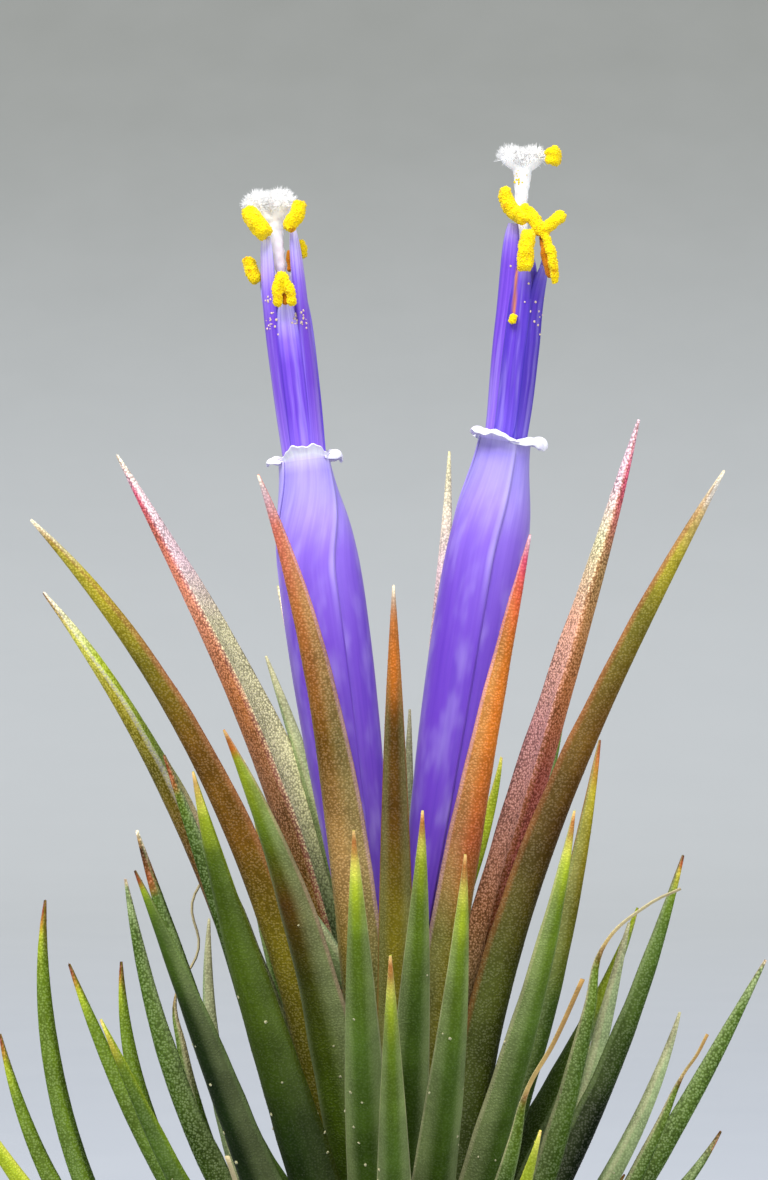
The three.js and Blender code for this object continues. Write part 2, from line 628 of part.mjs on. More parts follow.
function meshOf(name, solid, finish) {
  const shape = largest(solid.simplify(FINEST_DETAIL)).getMesh();
  const geometry = new THREE.BufferGeometry();
  const count = shape.vertProperties.length / shape.numProp;
  const places = new Float32Array(count * 3);
  for (let i = 0; i < count; i += 1) {
    for (let axis = 0; axis < 3; axis += 1) {
      places[i * 3 + axis] = shape.vertProperties[i * shape.numProp + axis];
    }
  }
  geometry.setAttribute('position', new THREE.BufferAttribute(places, 3));
  geometry.setIndex(Array.from(shape.triVerts));
  geometry.computeVertexNormals();
  const mesh = new THREE.Mesh(geometry, finishes[finish]);
  mesh.name = name;
  return mesh;
}

// Assembly
const plant = new THREE.Group();
plant.name = 'sky_plant';

const grownHeart = heartSolid(CUT_GAP);
const grownStem = stemSolid(CUT_GAP);
const grownTubes = FLOWERS.map((flower) => tubeSolid(flower, CUT_GAP));

const stem = clearOf(joined([stemSolid(), ...ROOTS.map(rootSolid)]), []);
plant.add(meshOf('stem', stem, 'husk'));
plant.add(meshOf('heart', clearOf(heartSolid(), grownTubes), 'heart'));

const placed = [grownHeart, grownStem, ...grownTubes];
for (const entry of LEAVES) {
  const row = leafRow(entry);
  const leaf = clearOf(leafSolid(row, STEM_PROFILE, LEAF_SINK), placed);
  plant.add(meshOf(`leaf_${entry[0]}`, leaf, entry[entry.length - 1]));
  placed.push(leafSolid(row, STEM_PROFILE, LEAF_SINK, CUT_GAP));
}

for (const flower of FLOWERS) {
  plant.add(meshOf(`petals_${flower.side}`, tubeSolid(flower), 'petal'));
  plant.add(meshOf(`filaments_${flower.side}`, stamenSolid(flower), 'filament'));
  plant.add(meshOf(`pistil_${flower.side}`, pistilSolid(flower), 'stigma'));
}

for (const [name, sacs] of Object.entries(ANTHERS)) {
  plant.add(meshOf(name, antherSolid(sacs), 'pollen'));
}

export default plant;
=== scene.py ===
# %% [markdown]
# # A sky plant in bloom
# A sky plant is a small air plant. It grows as a rosette: a short swollen stem, a few rings of
# stiff channelled leaves, and in the middle, once in its life, a couple of violet tube flowers.
# The CAD model gives every piece its place and size. This lesson dresses it: smooth blades in
# place of faceted ones, their silvery scales, thin rolled petals, pollen and the hairy stigmas.

import math
from collections import namedtuple

import bpy
import numpy as np
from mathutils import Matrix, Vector, noise


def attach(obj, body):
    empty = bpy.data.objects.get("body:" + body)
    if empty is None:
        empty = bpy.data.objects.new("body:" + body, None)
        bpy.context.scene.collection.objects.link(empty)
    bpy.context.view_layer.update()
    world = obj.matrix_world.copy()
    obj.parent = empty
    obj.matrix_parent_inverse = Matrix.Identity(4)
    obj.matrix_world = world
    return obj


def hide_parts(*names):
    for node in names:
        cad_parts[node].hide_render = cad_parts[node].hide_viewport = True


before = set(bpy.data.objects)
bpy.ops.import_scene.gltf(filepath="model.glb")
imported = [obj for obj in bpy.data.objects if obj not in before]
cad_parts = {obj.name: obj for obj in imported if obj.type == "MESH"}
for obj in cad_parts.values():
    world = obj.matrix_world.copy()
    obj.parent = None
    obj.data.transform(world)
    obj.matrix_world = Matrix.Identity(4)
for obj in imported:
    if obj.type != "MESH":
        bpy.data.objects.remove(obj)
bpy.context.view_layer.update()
MM = 0.001

# %% [markdown]
# ## Camera
# The flowers in the photograph stand upright and the leaves show no floor, so the camera looks
# level, from about as high as the middle of the plant. A long lens at arm's length gives the
# flat perspective of a close-up.

# %% Place the camera
PHOTO_HEIGHT = 1180
PIXELS_PER_MM = 17
CAMERA_DISTANCE = 300 * MM
CAMERA_SIDE = -0.94 * MM
CAMERA_HEIGHT = 52.35 * MM
SENSOR = 36
NEAREST, FURTHEST = 0.01, 10

scene = bpy.context.scene


def placed(name, data):
    """A new object in the scene."""
    piece = bpy.data.objects.new(name, data)
    scene.collection.objects.link(piece)
    return piece


camera = placed("camera", bpy.data.cameras.new("camera"))
scene.camera = camera
camera.location = (CAMERA_SIDE, -CAMERA_DISTANCE, CAMERA_HEIGHT)
camera.rotation_euler = (math.radians(90), 0, 0)
camera.data.sensor_width = SENSOR
camera.data.lens = SENSOR * CAMERA_DISTANCE / (PHOTO_HEIGHT / PIXELS_PER_MM * MM)
camera.data.clip_start, camera.data.clip_end = NEAREST, FURTHEST
print("lens in mm:", round(camera.data.lens, 1))

# %% [markdown]
# ## Colours
# Colours are written as six hex digits, as in a paint shop, and turned into the linear values
# that Blender mixes. Plant colours are named once here, so that a leaf can say "coral at the
# tip, olive below" in words.

# %% Name the colours
def linear(code):
    """The linear red, green, blue and alpha of a colour written as six hex digits."""
    parts = [int(code[i:i + 2], 16) / 255 for i in (0, 2, 4)]
    return [p / 12.92 if p < 0.0405 else ((p + 0.055) / 1.055) ** 2.4 for p in parts] + [1.0]


TONES = {name: linear(code) for name, code in {
    "cream": "efe3c4", "milky": "d0cb9c", "straw": "c9a868", "hay": "c2b288", "honey": "b08a40",
    "copper": "b06a34", "gold": "a89a24", "citrine": "b8aa38", "russet": "964634",
    "tan": "a8834c", "brown": "70431c", "dark_brown": "3c2410", "lemon": "d3cf55",
    "lime": "9fae26", "leaf": "62791a", "fern": "4d6620", "bottle": "3b5112", "night": "223309",
    "shadow": "101c04", "meadow": "46590e", "haze": "9dad7b", "deep": "18270a", "sage": "7f8f5c",
    "pale_sage": "b9b48c", "powder": "8b9564", "silver": "d9d2cc", "silver_rose": "d7b4bd",
    "rose": "d2496a", "salmon": "d4705a", "blush": "e08f6c", "fawn": "c0a389", "shell": "dcc0c2",
    "mallow": "b27e78", "apricot": "d6a384", "coral": "d2593a", "orange": "c86f22",
    "rust": "a8562c", "clay": "92603a", "bronze": "6d4a10", "umber": "573a0c", "olive": "6f6414",
    "moss": "454a0e", "plum": "8a2c4a", "husk": "7d5a34", "dry": "a98a5e", "violet": "7548cc",
    "mauve": "8f6ae0", "wisteria": "a389ec", "lilac": "a796f0", "orchid": "b8a0ee",
    "pale_lilac": "cfc4f8", "crumb": "ecd0b4", "white": "f6f5fb", "pollen": "ffdc00",
    "ochre": "e09a00", "amber": "c87a02",
}.items()}
print("colours:", len(TONES))

# %% [markdown]
# ## Helpers for node trees
# Both Geometry Nodes and materials are graphs. Written out socket by socket they are long, so
# one helper adds a node with its values, and the others do the arithmetic. A socket knows its
# tree, so the tree needn't be named where a socket is given.

# %% Helpers that add nodes
def put(socket, value):
    """Links another socket to this one, or sets its value."""
    if isinstance(value, bpy.types.NodeSocket):
        socket.id_data.links.new(value, socket)
    else:
        socket.default_value = value


def add(tree, kind, inputs=None, **settings):
    """A new node with its settings and its inputs, named as in the editor."""
    node = tree.nodes.new(kind)
    for name, value in settings.items():
        setattr(node, name, value)
    for name, value in (inputs or {}).items():
        put(node.inputs[name], value)
    return node


def tree_of(*values):
    """The tree of the first socket among some values."""
    return next(v for v in values if isinstance(v, bpy.types.NodeSocket)).id_data


def calc(operation, *values, kind="ShaderNodeMath", output=0):
    """One step of arithmetic with numbers."""
    node = add(tree_of(*values), kind, operation=operation)
    for socket, value in zip(node.inputs, values):
        put(socket, value)
    return node.outputs[output]


def times(first, *others):
    for other in others:
        first = calc("MULTIPLY", first, other)
    return first


def plus(first, second):
    return calc("ADD", first, second)


def minus(first, second):
    return calc("SUBTRACT", first, second)


def times_plus(first, second, third):
    return calc("MULTIPLY_ADD", first, second, third)


def arrow(operation, *values, output="Vector"):
    """One step of arithmetic with vectors."""
    return calc(operation, *values, kind="ShaderNodeVectorMath", output=output)


def stretched(way, factor):
    """A vector made longer or shorter."""
    node = add(way.id_data, "ShaderNodeVectorMath", {"Scale": factor}, operation="SCALE")
    put(node.inputs[0], way)
    return node.outputs["Vector"]


def vector(tree, x, y, z=0.0):
    return add(tree, "ShaderNodeCombineXYZ", {"X": x, "Y": y, "Z": z}).outputs[0]


# %% Helpers that run a Geometry Nodes tree
def new_tree(name, **inputs):
    """An empty Geometry Nodes tree and its inputs, whose names are listed by their kind."""
    tree = bpy.data.node_groups.new(name, "GeometryNodeTree")
    tree.interface.new_socket("Mesh", in_out="OUTPUT", socket_type="NodeSocketGeometry")
    for kind, titles in inputs.items():
        for title in titles.split():
            tree.interface.new_socket(title, in_out="INPUT", socket_type=f"NodeSocket{kind}")
    return tree, add(tree, "NodeGroupInput").outputs


def close_tree(geometry, finish):
    """Ends a tree: instances become real mesh, and the material is set."""
    tree = geometry.id_data
    real = add(tree, "GeometryNodeRealizeInstances", {"Geometry": geometry}).outputs[0]
    done = add(tree, "GeometryNodeSetMaterial", {"Geometry": real, "Material": finish})
    put(add(tree, "NodeGroupOutput").inputs[0], done.outputs[0])
    return tree


def baked(maker):
    """The mesh that an object's modifiers or curve settings make of it."""
    bpy.context.view_layer.update()
    graph = bpy.context.evaluated_depsgraph_get()
    return bpy.data.meshes.new_from_object(
        maker.evaluated_get(graph), preserve_all_data_layers=True, depsgraph=graph)


def made_plain(piece, name):
    """Makes what the modifiers show the object's own mesh."""
    raw, mesh = piece.data, baked(piece)
    piece.modifiers.clear()
    piece.data = mesh
    bpy.data.meshes.remove(raw)
    mesh.name = name
    return piece


def grown(name, tree, **values):
    """A plain mesh object made by a tree with the given inputs."""
    piece = placed(name, bpy.data.meshes.new(name))
    modifier = piece.modifiers.new("grow", "NODES")
    modifier.node_group = tree
    for item in tree.interface.items_tree:
        if item.in_out == "INPUT":
            modifier[item.identifier] = values[item.name]
    return made_plain(piece, name)


# %% [markdown]
# ## Materials of the leaves
# What makes the plant grey and frosted is a coat of tiny silvery scales that drink water from
# the air. Each stands as a pale dot on the green or red skin. A picture of dots would stretch,
# so the dots are Voronoi cells in space, as round on a margin as on a face. Fine streaks follow
# the blade's own lengths: its UV map is in metres, across and along the leaf.

# %% Helpers for materials
SHEEN_ROUGHNESS = 0.4


def fixed(shader, values):
    """Constant values, set on the shader's own sockets."""
    for title, value in values.items():
        shader.inputs[title].default_value = value


def plain_material(name, roughness, specular, sheen=0.0):
    material = bpy.data.materials.new(name)
    material.use_nodes = True
    shader = material.node_tree.nodes["Principled BSDF"]
    fixed(shader, {"Roughness": roughness, "Specular IOR Level": specular,
                   "Sheen Weight": sheen, "Sheen Roughness": SHEEN_ROUGHNESS})
    return material, material.node_tree, shader


def fleshy(shader, weight, radius, depth):
    """Lets light soak into the skin, to a depth in millimetres."""
    fixed(shader, {"Subsurface Weight": weight, "Subsurface Radius": radius,
                   "Subsurface Scale": depth * MM})


def attribute(tree, name, output="Fac"):
    return add(tree, "ShaderNodeAttribute", attribute_name=name).outputs[output]


def in_space(tree):
    """Each point's place on the plant."""
    return add(tree, "ShaderNodeTexCoord").outputs["Object"]


def clouds(where, scale, detail):
    """Soft noise."""
    return add(where.id_data, "ShaderNodeTexNoise", {
        "Vector": where, "Scale": scale, "Detail": detail}).outputs[0]


def cells(where, scale, randomness=1.0):
    """How far each point is from the middle of its Voronoi cell."""
    return add(where.id_data, "ShaderNodeTexVoronoi", {
        "Vector": where, "Scale": scale, "Randomness": randomness}).outputs["Distance"]


def mixed(factor, first, second, blend="MIX"):
    """Two colours mixed by a factor."""
    values = (factor, first, second)
    node = add(tree_of(*values), "ShaderNodeMix", data_type="RGBA", blend_type=blend)
    for place, value in zip((0, 6, 7), values):
        put(node.inputs[place], value)
    return node.outputs[2]


def shaded(colour, shade):
    """A colour made darker or lighter all over by a number."""
    grey = add(shade.id_data, "ShaderNodeCombineColor", {
        "Red": shade, "Green": shade, "Blue": shade}).outputs[0]
    return mixed(1.0, colour, grey, "MULTIPLY")


def ranged(value, low, high, to_low=0.0, to_high=1.0):
    """A value's range stretched to another, with soft ends."""
    return add(value.id_data, "ShaderNodeMapRange", {
        "Value": value, "From Min": low, "From Max": high, "To Min": to_low, "To Max": to_high,
    }, interpolation_type="SMOOTHSTEP").outputs[0]


def coloured(shader, colour):
    put(shader.inputs["Base Color"], colour)


def bumped(shader, height, distance, strength=1.0):
    """Relief of a height in millimetres on the shader's surface."""
    bump = add(height.id_data, "ShaderNodeBump", {
        "Height": height, "Distance": distance * MM, "Strength": strength})
    put(shader.inputs["Normal"], bump.outputs[0])


# %% Leaf skin
DOTS_PER_METRE = 6500.0
DOT_RANDOMNESS = 0.8
UNDER_SCALE = 1.5
FROSTED = 0.1
STREAKS_PER_METRE = (2600.0, 130.0, 1.0)


def frosted(colour, silvery):
    """A colour as it looks under a scale: brighter, with a little silver over it."""
    light = mixed(1.0, colour, (UNDER_SCALE,) * 3 + (1.0,), "MULTIPLY")
    return mixed(silvery, light, TONES["silver"])


def leaf_skin():
    material, tree, shader = plain_material("leaf_skin", 0.55, 0.06)
    across = calc("ABSOLUTE", attribute(tree, "across"))
    frost = attribute(tree, "frost")
    here = in_space(tree)
    from_dot = cells(here, DOTS_PER_METRE, DOT_RANDOMNESS)
    dot = ranged(from_dot, 0.52, 0.3)
    uv = add(tree, "ShaderNodeUVMap", uv_map="UVMap").outputs[0]
    streak = clouds(arrow("MULTIPLY", uv, STREAKS_PER_METRE), 1.0, 2.0)
    patch = clouds(here, 420.0, 3.0)
    band = times(ranged(across, 0.2, 0.85), attribute(tree, "band"))
    powdered = mixed(band, attribute(tree, "tint", "Color"), TONES["powder"])
    skin = mixed(ranged(across, 0.91, 0.99), powdered, attribute(tree, "edge", "Color"))
    shade = times(ranged(streak, 0.3, 0.7, 0.9, 1.08), ranged(patch, 0.3, 0.7, 0.78, 1.16))
    # Painted shade: the skin is darker in the grooves between the raised scales.
    painted_groove_shade = times(ranged(from_dot, 0.45, 0.8, 0.0, 0.55), frost)
    varied = shaded(skin, times(shade, minus(1.0, painted_groove_shade)))
    coloured(shader, mixed(times(dot, frost), varied, frosted(powdered, FROSTED)))
    bumped(shader, dot, 0.04, 0.5)
    return material


def scale_finish():
    material, tree, shader = plain_material("leaf_scale", 0.5, 0.2)
    silvery = ranged(clouds(in_space(tree), 900.0, 2.0), 0.35, 0.7, 0.03, 0.1)
    coloured(shader, frosted(attribute(tree, "tint", "Color"), silvery))
    return material


LEAF_SKIN = leaf_skin()
LEAF_SCALE = scale_finish()
print("leaf materials:", LEAF_SKIN.name, LEAF_SCALE.name)

# %% [markdown]
# ## One leaf blade
# A leaf leaves the stem, curves out and up, and ends in a fine point. Its section is a shallow
# channel, thick along the middle and thin at the margins. That is a rule, so one Geometry Nodes
# tree makes every blade: a unit cylinder is the blank, its height is the place along the
# midrib, its angle the place round the section, and Set Position bends it into the leaf. The
# same tree makes the flat filaments of the flowers.

# %% The blade tree
SECTION_ROUNDNESS = 0.55
EDGE_THICKNESS = 0.46
SHEATH_SHARE = 0.22
SHEATH_SPREAD = 0.12
RIPPLE_LENGTHS = 7.0


def enabled(sockets, name):
    """The socket of a name that is in use, where others share the name."""
    return next(s for s in sockets if s.name == name and s.enabled)


def stored(geometry, name, value, kind="FLOAT", domain="POINT"):
    """The geometry with a value kept on it as a named attribute."""
    node = add(geometry.id_data, "GeometryNodeStoreNamedAttribute", {
        "Geometry": geometry, "Name": name}, data_type=kind, domain=domain)
    put(enabled(node.inputs, "Value"), value)
    return node.outputs[0]


def fading(distance, reach):
    """0 at the tip of a leaf, and near 1 further than reach below it."""
    return minus(1.0, calc("EXPONENT", times(calc("DIVIDE", distance, reach), -1.0)))


def between(low, high, share):
    return times_plus(minus(high, low), share, low)


def blade_tree():
    tree, given = new_tree("leaf_blade", Object="Midrib", Material="Finish", Int="Around Along",
                           Float="Width TipWidth WidthTaper Thickness TipThickness "
                                 "ThicknessTaper Channel BaseBearing TipBearing BladeShare "
                                 "Ripple Seed")
    midrib = add(tree, "GeometryNodeObjectInfo", {"Object": given["Midrib"]}).outputs["Geometry"]
    length = add(tree, "GeometryNodeCurveLength", {"Curve": midrib}).outputs[0]
    blank = add(tree, "GeometryNodeMeshCylinder", {
        "Vertices": given["Around"], "Side Segments": given["Along"], "Radius": 1.0,
        "Depth": 1.0}, fill_type="NGON").outputs["Mesh"]
    x, y, z = add(tree, "ShaderNodeSeparateXYZ", {
        "Vector": add(tree, "GeometryNodeInputPosition").outputs[0]}).outputs
    share = plus(z, 0.5)
    flat = times(calc("SIGN", y), calc("POWER", calc("ABSOLUTE", y), SECTION_ROUNDNESS))
    line = add(tree, "GeometryNodeSampleCurve", {
        "Curves": midrib, "Factor": share}, mode="FACTOR").outputs
    along = line["Tangent"]
    bearing = between(given["BaseBearing"], given["TipBearing"], share)
    side = vector(tree, times(calc("SINE", bearing), -1.0), calc("COSINE", bearing))
    leaning = arrow("DOT_PRODUCT", side, along, output="Value")
    wide = arrow("NORMALIZE", arrow("SUBTRACT", side, stretched(along, leaning)))
    inward = arrow("CROSS_PRODUCT", along, wide)
    to_tip = times(length, calc("MAXIMUM", 0.0, minus(given["BladeShare"], share)))
    full = fading(to_tip, given["WidthTaper"])
    swell = fading(to_tip, given["ThicknessTaper"])
    low_down = calc("MAXIMUM", 0.0, minus(1.0, calc("DIVIDE", share, SHEATH_SHARE)))
    sheath = times_plus(low_down, SHEATH_SPREAD, 1.0)
    half = times(between(given["TipWidth"], given["Width"], full), sheath, 0.5)
    thick = between(given["TipThickness"], given["Thickness"], swell)
    channel = times(given["Channel"], full, times(half, 2.0))
    squared = times(x, x)
    wave = add(tree, "ShaderNodeTexNoise", {
        "W": times_plus(share, RIPPLE_LENGTHS, given["Seed"]), "Scale": 1.0, "Detail": 1.0,
    }, noise_dimensions="1D").outputs[0]
    ripple = times(given["Ripple"], full, times(minus(wave, 0.5), x))
    belly = times(thick, 0.5, times_plus(squared, EDGE_THICKNESS - 1.0, 1.0))
    rise = plus(ripple, times_plus(flat, belly, times(channel, minus(squared, 0.5))))
    spread = times(x, half)
    marked = stored(blank, "across", x)
    marked = stored(marked, "face", y)
    marked = stored(marked, "share", share)
    marked = stored(marked, "tipward", along, "FLOAT_VECTOR")
    uv = vector(tree, spread, times(share, length))
    marked = stored(marked, "UVMap", uv, "FLOAT2", "CORNER")
    place = arrow("ADD", line["Position"], arrow(
        "ADD", stretched(wide, spread), stretched(inward, rise)))
    bent = add(tree, "GeometryNodeSetPosition", {"Geometry": marked, "Position": place})
    smooth = add(tree, "GeometryNodeSetShadeSmooth", {"Geometry": bent.outputs[0]})
    return close_tree(smooth.outputs[0], given["Finish"])


BLADE = blade_tree()
print("blade tree nodes:", len(BLADE.nodes))

# %% [markdown]
# ## Where the leaves are
# The rows repeat the CAD model's own driving sizes, in millimetres: where each tip is, how high
# its base sits on the stem, how it sets off and how it ends. A fine blade made from the same
# row lies where its solid lies, but it narrows sooner towards its tip, as the real leaves do.
# The last word of a row is the leaf's colouring, and a number after it a deeper channel.

# %% Driving sizes of the leaves
STEM_PROFILE = [
    (3.8, 0), (4.6, 0.9), (5.9, 2.8), (6.8, 5.6), (7.0, 8.0), (6.7, 10.4),
    (5.9, 13.5), (4.9, 17.0), (3.9, 20.5), (3.0, 23.4), (1.9, 25.0),
]
HEART_PROFILE = [(1.3, 25.4), (2.5, 25.8), (3.0, 27.0), (2.7, 28.6), (1.7, 29.4)]
LEAF_SINK = 1.4
HEART_SINK = 1.6
LAUNCH_REACH = 0.36
TIP_REACH = 0.34

Leaf = namedtuple("Leaf", "tip base turn launch lean width twist look channel", defaults=(0.34,))


def numbered(rings, digits=1):
    """Leaves named after their ring and their number in it."""
    return {f"{ring}_{number:0{digits}}": Leaf(*row)
            for ring, rows in rings.items() for number, row in enumerate(rows, 1)}


LEAVES = numbered({
    "inner": [
        ((-16.9, 5.0, 60.4), 20.5, -6, 87, 58, 4.7, -4, "rosy", 0.56),
        ((-8.1, -10.0, 58.9), 20.0, 12, 76, 58, 3.4, 0, "ember"),
        ((7.4, -9.0, 55.5), 20.0, -12, 76, 70, 3.2, 0, "flame"),
        ((14.1, 1.0, 62.4), 20.5, 6, 79, 74, 3.4, 16, "frosted", 0.5),
        ((3.0, 7.2, 60.7), 20.5, 14, 76, 86, 2.2, 0, "peach"),
        ((-0.4, -11.0, 52.6), 17.5, 0, 74, 80, 2.7, 0, "amber"),
        ((-21.3, -6.0, 56.4), 16.4, 12, 80, 44, 3.0, 6, "citron"),
        ((18.6, -7.0, 59.2), 16.4, -8, 84, 58, 3.2, -6, "bronze"),
        ((-21.0, 0.5, 52.2), 15.0, -8, 74, 50, 3.3, -6, "lime_brown", 0.5),
        ((10.4, 8.0, 49.3), 17.5, 4, 72, 78, 3.4, 0, "shaded"),
    ],
    "mid": [
        ((-13.5, -8.5, 42.9), 13.5, -6, 72, 66, 2.8, 0, "scaly"),
        ((-9.9, -14.5, 44.5), 14.0, 4, 78, 50, 4.2, 0, "gold_tip"),
        ((1.2, -17.0, 40.1), 14.0, -2, 66, 74, 3.3, 0, "front"),
        ((11.5, -6.0, 43.7), 14.0, -4, 66, 80, 2.7, -10, "olive"),
        ((8.5, 16.0, 38.0), 14.0, 0, 68, 64, 4.0, 0, "green"),
        ((-1.6, 18.0, 40.0), 14.0, 0, 68, 66, 4.0, 0, "gold_tip"),
        ((-10.0, 14.5, 39.0), 14.0, 6, 68, 64, 4.0, 0, "green"),
        ((-11.5, -18.0, 42.3), 10.5, -2, 66, 68, 4.2, 0, "bright"),
        ((-2.6, -21.0, 39.2), 10.5, -4, 62, 72, 3.5, 0, "front"),
        ((3.5, -21.5, 37.9), 10.5, 2, 62, 76, 3.3, 0, "front"),
        ((9.7, -15.0, 40.0), 11.0, 0, 68, 74, 3.2, 0, "front"),
        ((16.6, -1.0, 36.8), 10.5, 2, 60, 74, 3.4, -30, "red_point"),
        ((-15.2, -6.0, 38.5), 11.0, 2, 62, 72, 2.4, 10, "scorched"),
        ((-16.1, -1.0, 35.4), 10.0, 0, 50, 80, 2.8, 30, "frosty"),
        ((-11.5, 8.0, 32.5), 9.5, 6, 46, 94, 2.4, 0, "pale"),
    ],
    "outer": [
        ((-14.9, -14.0, 36.6), 8.0, 0, 60, 60, 3.8, 8, "in_shadow"),
        ((-0.6, -26.0, 32.7), 7.5, 0, 48, 62, 2.9, 0, "front"),
        ((11.6, -8.0, 31.9), 8.5, -4, 58, 76, 2.9, -16, "dried"),
        ((13.7, 4.5, 32.5), 8.5, 2, 56, 74, 2.6, -30, "pale"),
        ((6.9, -18.5, 24.6), 7.5, 2, 48, 62, 2.9, 0, "singed"),
        ((21.4, -1.5, 30.7), 7.0, 0, 45, 62, 2.8, -36, "frosty"),
        ((16.9, 7.5, 26.9), 7.0, 4, 45, 72, 2.4, -36, "pale"),
        ((16.4, -4.0, 24.2), 6.0, -4, 45, 66, 2.4, -30, "singed"),
        ((7.4, -28.0, 23.5), 5.5, 0, 32, 50, 2.6, 0, "fresh"),
        ((-16.6, 4.0, 30.2), 7.5, 0, 38, 90, 2.0, 20, "brown_tip"),
        ((-18.9, -9.0, 31.0), 7.5, 0, 42, 68, 2.4, 14, "brown_tip"),
        ((-16.6, -18.0, 28.6), 5.5, 0, 36, 58, 2.6, 0, "turning"),
        ((-21.2, 5.0, 33.8), 4.8, 0, 2, 96, 1.8, 20, "brown_tip"),
        ((-23.3, -3.0, 26.5), 5.2, 0, 10, 78, 2.2, 30, "brown_tip"),
        ((-25.0, -12.0, 24.5), 5.0, 0, 20, 60, 2.4, 0, "fresh"),
        ((-13.4, 4.6, 28.0), 9.0, 4, 48, 84, 2.0, 20, "dried"),
        ((-8.6, -22.5, 18.6), 6.5, 0, 30, 52, 2.4, 0, "dried"),
        ((24.5, -6.5, 19.4), 5.0, 0, 22, 60, 2.6, -30, "green"),
        ((-14.5, 12.0, 25.0), 6.5, 0, 40, 62, 3.0, 0, "green"),
        ((3.0, 20.5, 28.0), 8.0, 4, 50, 60, 3.4, 0, "brown_tip"),
    ],
}, digits=2)

HEART_LEAVES = numbered({"heart": [
    ((-7.4, 10.0, 52.6), 27.0, 0, 78, 66, 2.8, 0, "peach"),
    ((-8.0, 5.0, 48.4), 27.0, 10, 76, 66, 2.2, 0, "pale"),
    ((0.6, 5.5, 45.2), 27.4, 0, 78, 82, 2.2, 0, "pale"),
    ((5.9, -3.0, 42.6), 27.0, -10, 72, 80, 2.2, 0, "fresh"),
    ((-11.7, -4.0, 42.5), 26.6, 0, 60, 58, 2.2, 0, "pale"),
]})

OLD_LEAVES = numbered({
    "back": [
        ((14.5, 10.5, 33.0), 12.0, 0, 62, 66, 3.6, 0, "green"),
        ((-0.6, 12.5, 43.0), 16.0, 0, 70, 76, 3.2, 0, "citron"),
        ((-4.4, 15.5, 33.5), 11.0, 0, 64, 68, 3.6, 0, "green"),
        ((-9.5, 10.5, 42.0), 15.5, 6, 70, 66, 3.2, 0, "citron"),
        ((12.0, 17.0, 25.0), 9.0, 0, 50, 60, 3.4, 0, "brown_tip"),
        ((-11.5, 19.0, 24.0), 8.0, 0, 48, 58, 3.4, 0, "gold_tip"),
        ((19.5, 9.5, 19.5), 6.5, 0, 36, 56, 3.0, 0, "scaly"),
    ],
    "husk": [(tip, 2.2, 0, 50, 88, 5.0, 0, "papery") for tip in [
        (8.2, 3.4, 8.6), (2.6, 8.6, 7.8), (-5.4, 7.2, 8.8), (-8.9, 0.4, 7.6),
        (-5.6, -7.0, 8.4), (2.4, -8.7, 7.8), (7.6, -4.6, 8.2),
    ]],
    "old": [
        ((14.0, 17.0, 16.0), 5.5, 0, 32, 40, 3.4, 0, "brown_tip"),
        ((-5.0, 22.0, 17.0), 5.5, 0, 34, 44, 3.4, 0, "brown_tip"),
        ((24.5, 7.0, 9.0), 4.0, 0, 18, 20, 3.2, 0, "fading"),
        ((16.5, -19.0, 10.0), 4.0, 0, 18, 24, 3.2, 0, "fading"),
        ((0.5, -26.0, 7.5), 3.8, 0, 16, 10, 3.2, 0, "fading"),
        ((-17.0, -19.0, 8.0), 3.8, 0, 16, 14, 3.2, 0, "fading"),
        ((-24.5, 6.0, 8.5), 4.0, 0, 18, 20, 3.2, 0, "fading"),
        ((-14.0, 20.0, 6.0), 3.8, 0, 16, 6, 3.2, 0, "fading"),
        ((6.0, 25.0, 6.5), 3.8, 0, 16, 8, 3.2, 0, "fading"),
    ],})

STRAW_TIPS = {
    "outer_03": [(14.2, -8.6, 34.4), (16.0, -8.8, 35.3)],
    "outer_05": [(8.4, -20.4, 27.6), (9.9, -21.6, 31.1)],
    "outer_08": [(17.2, -4.3, 25.4), (17.8, -4.4, 26.6)],
    "outer_16": [(-12.0, 4.4, 31.0), (-12.4, 4.4, 33.6), (-11.7, 4.4, 35.2)],
    "outer_17": [(-9.0, -24.0, 20.4), (-9.4, -25.0, 21.8)],
}
print("leaves:", len(LEAVES), "in the heart:", len(HEART_LEAVES), "on the stem:", len(OLD_LEAVES))

# %% [markdown]
# ## How each kind of leaf is coloured
# Before it flowers the plant blushes: the inner leaves turn from olive to bronze, coral and
# rose towards their tips, and the outer ones stay green with a small yellow or brown point.
# A look lists colours along the outer face and along the inner face, from base to tip, with the
# colour of the margin and how thickly the scales lie. Numbers are percent of the leaf's length.

# %% Looks of the leaves
Look = namedtuple("Look", "outer inner edge frost band", defaults=(0.0,))


def stops(words):
    """Reads "moss, 40 olive, cream" as moss at 0, olive at 0.4 and cream at 1."""
    parts = [part.split() for part in words.split(", ")]
    places = [0.0, *(float(part[0]) / 100 for part in parts[1:-1]), 1.0]
    return list(zip(places, (part[-1] for part in parts)))


def read_look(outer, inner, *rest):
    return Look(stops(outer), stops(inner), *rest)
